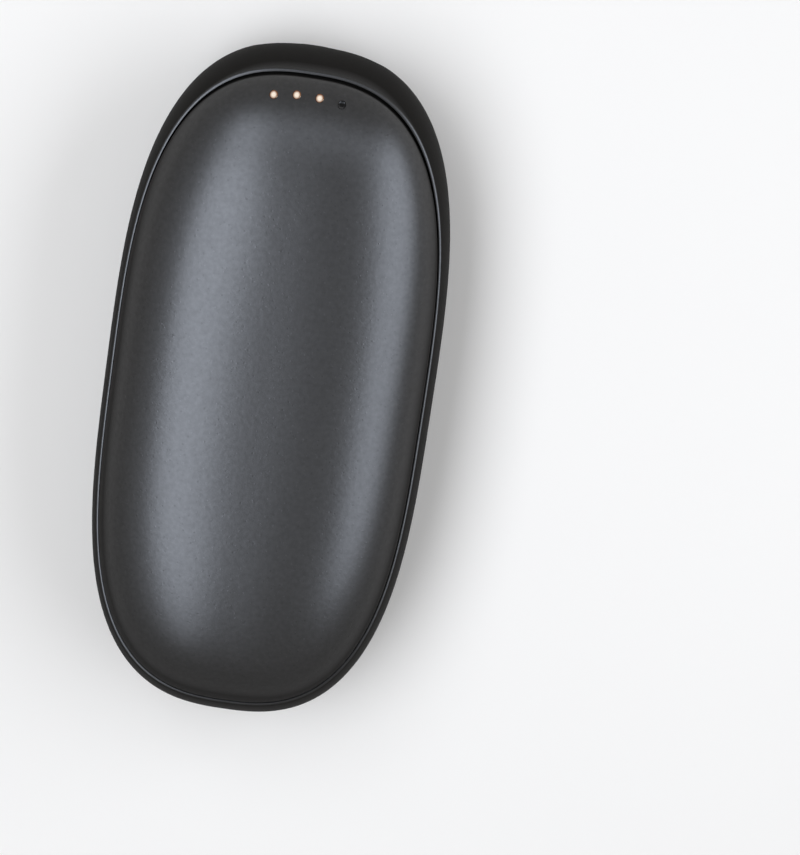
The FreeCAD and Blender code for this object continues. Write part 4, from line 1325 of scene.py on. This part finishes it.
@dataclass(frozen=True)
class FoamPad:
    """A foam pad, softened from its solid, in millimetres."""

    node: str
    weld: float = 0.001
    voxel: float = 0.3
    passes: int = 6
    pull: float = 0.5
    sharp: float = 80.0

    def build(self, finish: Material) -> None:
        """Builds and seats the pad.

        Args:
            finish: Its material.
        """
        solid = bmesh.new()
        solid.from_mesh(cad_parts[self.node].data)
        bmesh.ops.remove_doubles(solid, verts=solid.verts, dist=self.weld * MM)
        pad = new_piece(f"soft_{self.node}", Net())
        solid.to_mesh(pad.data)
        solid.free()
        grid = pad.modifiers.new("grid", "REMESH")
        grid.mode, grid.voxel_size = "VOXEL", self.voxel * MM
        soft = pad.modifiers.new("soft", "SMOOTH")
        soft.iterations, soft.factor = self.passes, self.pull
        apply_modifiers(pad)
        settle(pad, finish, self.sharp)
        seat(pad, Body.HOUSING, self.node)


class Inside:
    """The pieces that keep their solids and get a finish by material slot."""

    def dress(self, finishes: dict[str, Finish]) -> None:
        """Dresses every solid.

        Args:
            finishes: The finish of each slot.
        """
        made = {slot: finish.paint() for slot, finish in finishes.items()}
        for name, node in sorted(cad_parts.items()):
            for slot in node.material_slots:
                wanted = slot.material.name.split(".")[0] if slot.material else ""
                if wanted in made:
                    slot.material = made[wanted]
                    LOG.info("%s: dressed as %s", name, made[wanted].name)


# The studio


class LampShape(Enum):
    """The outline of a soft box."""

    BOX = "RECTANGLE"
    OVAL = "ELLIPSE"


@dataclass(frozen=True)
class Lamp:
    """A soft box that faces the object, in metres."""

    name: str
    place: Point
    aim: Point
    size: Pair
    watts: float
    slant: float = 0.0
    shape: LampShape = LampShape.OVAL
    colour: Colour = (0.905, 0.98, 1.125)

    def turn(self) -> Matrix:
        """Gives the turn of a lamp whose long side follows the object.

        Returns:
            Its matrix.
        """
        back = (Vector(self.place) - Vector(self.aim)).normalized()
        right = Vector((0.0, 1.0, 0.0)).cross(back).normalized()
        turn = Matrix((right, back.cross(right), back)).transposed().to_4x4()
        return turn @ Matrix.Rotation(math.radians(self.slant), 4, "Z")

    def build(self) -> None:
        """Builds the lamp."""
        data = bpy.data.lights.new(self.name, "AREA")
        data.shape, data.energy, data.color = self.shape.value, self.watts, self.colour
        data.size, data.size_y = self.size
        lamp = bpy.data.objects.new(self.name, data)
        lamp.matrix_world = Matrix.Translation(self.place) @ self.turn()
        bpy.context.scene.collection.objects.link(lamp)


@dataclass(frozen=True)
class Studio:
    """Pale floor, soft boxes, plain surroundings and the camera, in metres."""

    lens: float = 105.26
    sensor: float = 36.0
    clip: Pair = (0.01, 20.0)
    eye: Point = (0.0127069, 0.0720324, 0.3871153)
    right: Point = (0.988811, 0.148909, -0.008859)
    up: Point = (-0.147712, 0.96911, -0.197504)
    back: Point = (-0.020825, 0.196603, 0.980262)
    floor_half: float = 3.0
    floor_cloud: float = 60.0
    floor_near: tuple[Colour, Colour] = ((0.965, 0.906, 0.815), (0.98, 0.92, 0.827))
    floor_far: Colour = (0.98, 0.98, 0.98)
    floor_rough: Pair = (0.7, 0.8)
    floor_gloss: float = 0.1
    fade: Pair = (0.7, 1.8)
    surroundings: Colour = (0.18, 0.18, 0.18)
    lamps: tuple[Lamp, ...] = (
        Lamp("left_core", (-0.231, -0.05, 0.494), (0.0, -0.05, 0.02), (0.3, 0.55), 1.33, 4.0),
        Lamp("left_halo", (-0.231, 0.0, 0.494), (0.0, 0.0, 0.02), (0.3, 1.2), 1.63, 4.0),
        Lamp("right_box", (0.481, 0.118, 0.382), (0.0, 0.118, 0.02), (0.36, 0.92), 2.16, -16.0),
        Lamp("end_box", (0.0, 0.4, 0.46), (0.0, 0.0, 0.02), (0.9, 0.2), 0.43, shape=LampShape.BOX),
    )

    def build(self) -> None:
        """Builds the stage."""
        self.floor()
        self.world()
        for lamp in self.lamps:
            lamp.build()
        self.camera()
        bpy.context.scene.view_settings.view_transform = "Standard"

    def floor(self) -> None:
        """Builds the floor."""
        half = self.floor_half / MM
        corners = [(-half, -half, 0), (half, -half, 0), (half, half, 0), (-half, half, 0)]
        floor = new_piece("floor", Net(corners, [(0, 1, 2, 3)]))
        paint = Paint("pale_floor")
        cloud = paint.noise(self.floor_cloud)
        away = paint.span(paint.distance(), RISE, self.fade)
        floor.data.materials.append(paint.finish(
            Base_Color=paint.blend(away, paint.blend(cloud, *self.floor_near), self.floor_far),
            Roughness=paint.span(cloud, self.floor_rough),
            Specular_IOR_Level=self.floor_gloss))

    def world(self) -> None:
        """Sets the plain surroundings."""
        world = bpy.data.worlds.new("surroundings")
        world.use_nodes = True
        world.node_tree.nodes["Background"].inputs["Color"].default_value = (*self.surroundings, 1.0)
        bpy.context.scene.world = world

    def camera(self) -> None:
        """Puts the camera at the photograph's place."""
        data = bpy.data.cameras.new("camera")
        data.lens, data.sensor_width = self.lens, self.sensor
        data.clip_start, data.clip_end = self.clip
        camera = bpy.data.objects.new("camera", data)
        turn = Matrix((self.right, self.up, self.back)).transposed().to_4x4()
        camera.matrix_world = Matrix.Translation(self.eye) @ turn
        bpy.context.scene.collection.objects.link(camera)
        bpy.context.scene.camera = camera


def main() -> None:
    """Builds every sub-assembly, dresses the solids and sets the studio."""
    logging.basicConfig(level=logging.INFO, format="%(name)s: %(message)s")
    pebble, palette = Pebble(), Palette()
    maker = ShellMaker(pebble)
    tree = maker.tree()
    indicators = Indicators(pebble)
    Inside().dress(palette.inner())
    FrontShell(pebble).build(maker, tree, indicators.places(), palette.front.paint())
    RearShell(pebble).build(maker, tree, palette.rear.paint())
    indicators.build(palette.guide.paint())
    PowerButton(pebble).build(palette.button.paint())
    foam = palette.foam.paint()
    for node in ("front_foam_pad", "rear_foam_pad"):
        FoamPad(node).build(foam)
    Studio().build()


if __name__ == "__main__":
    main()
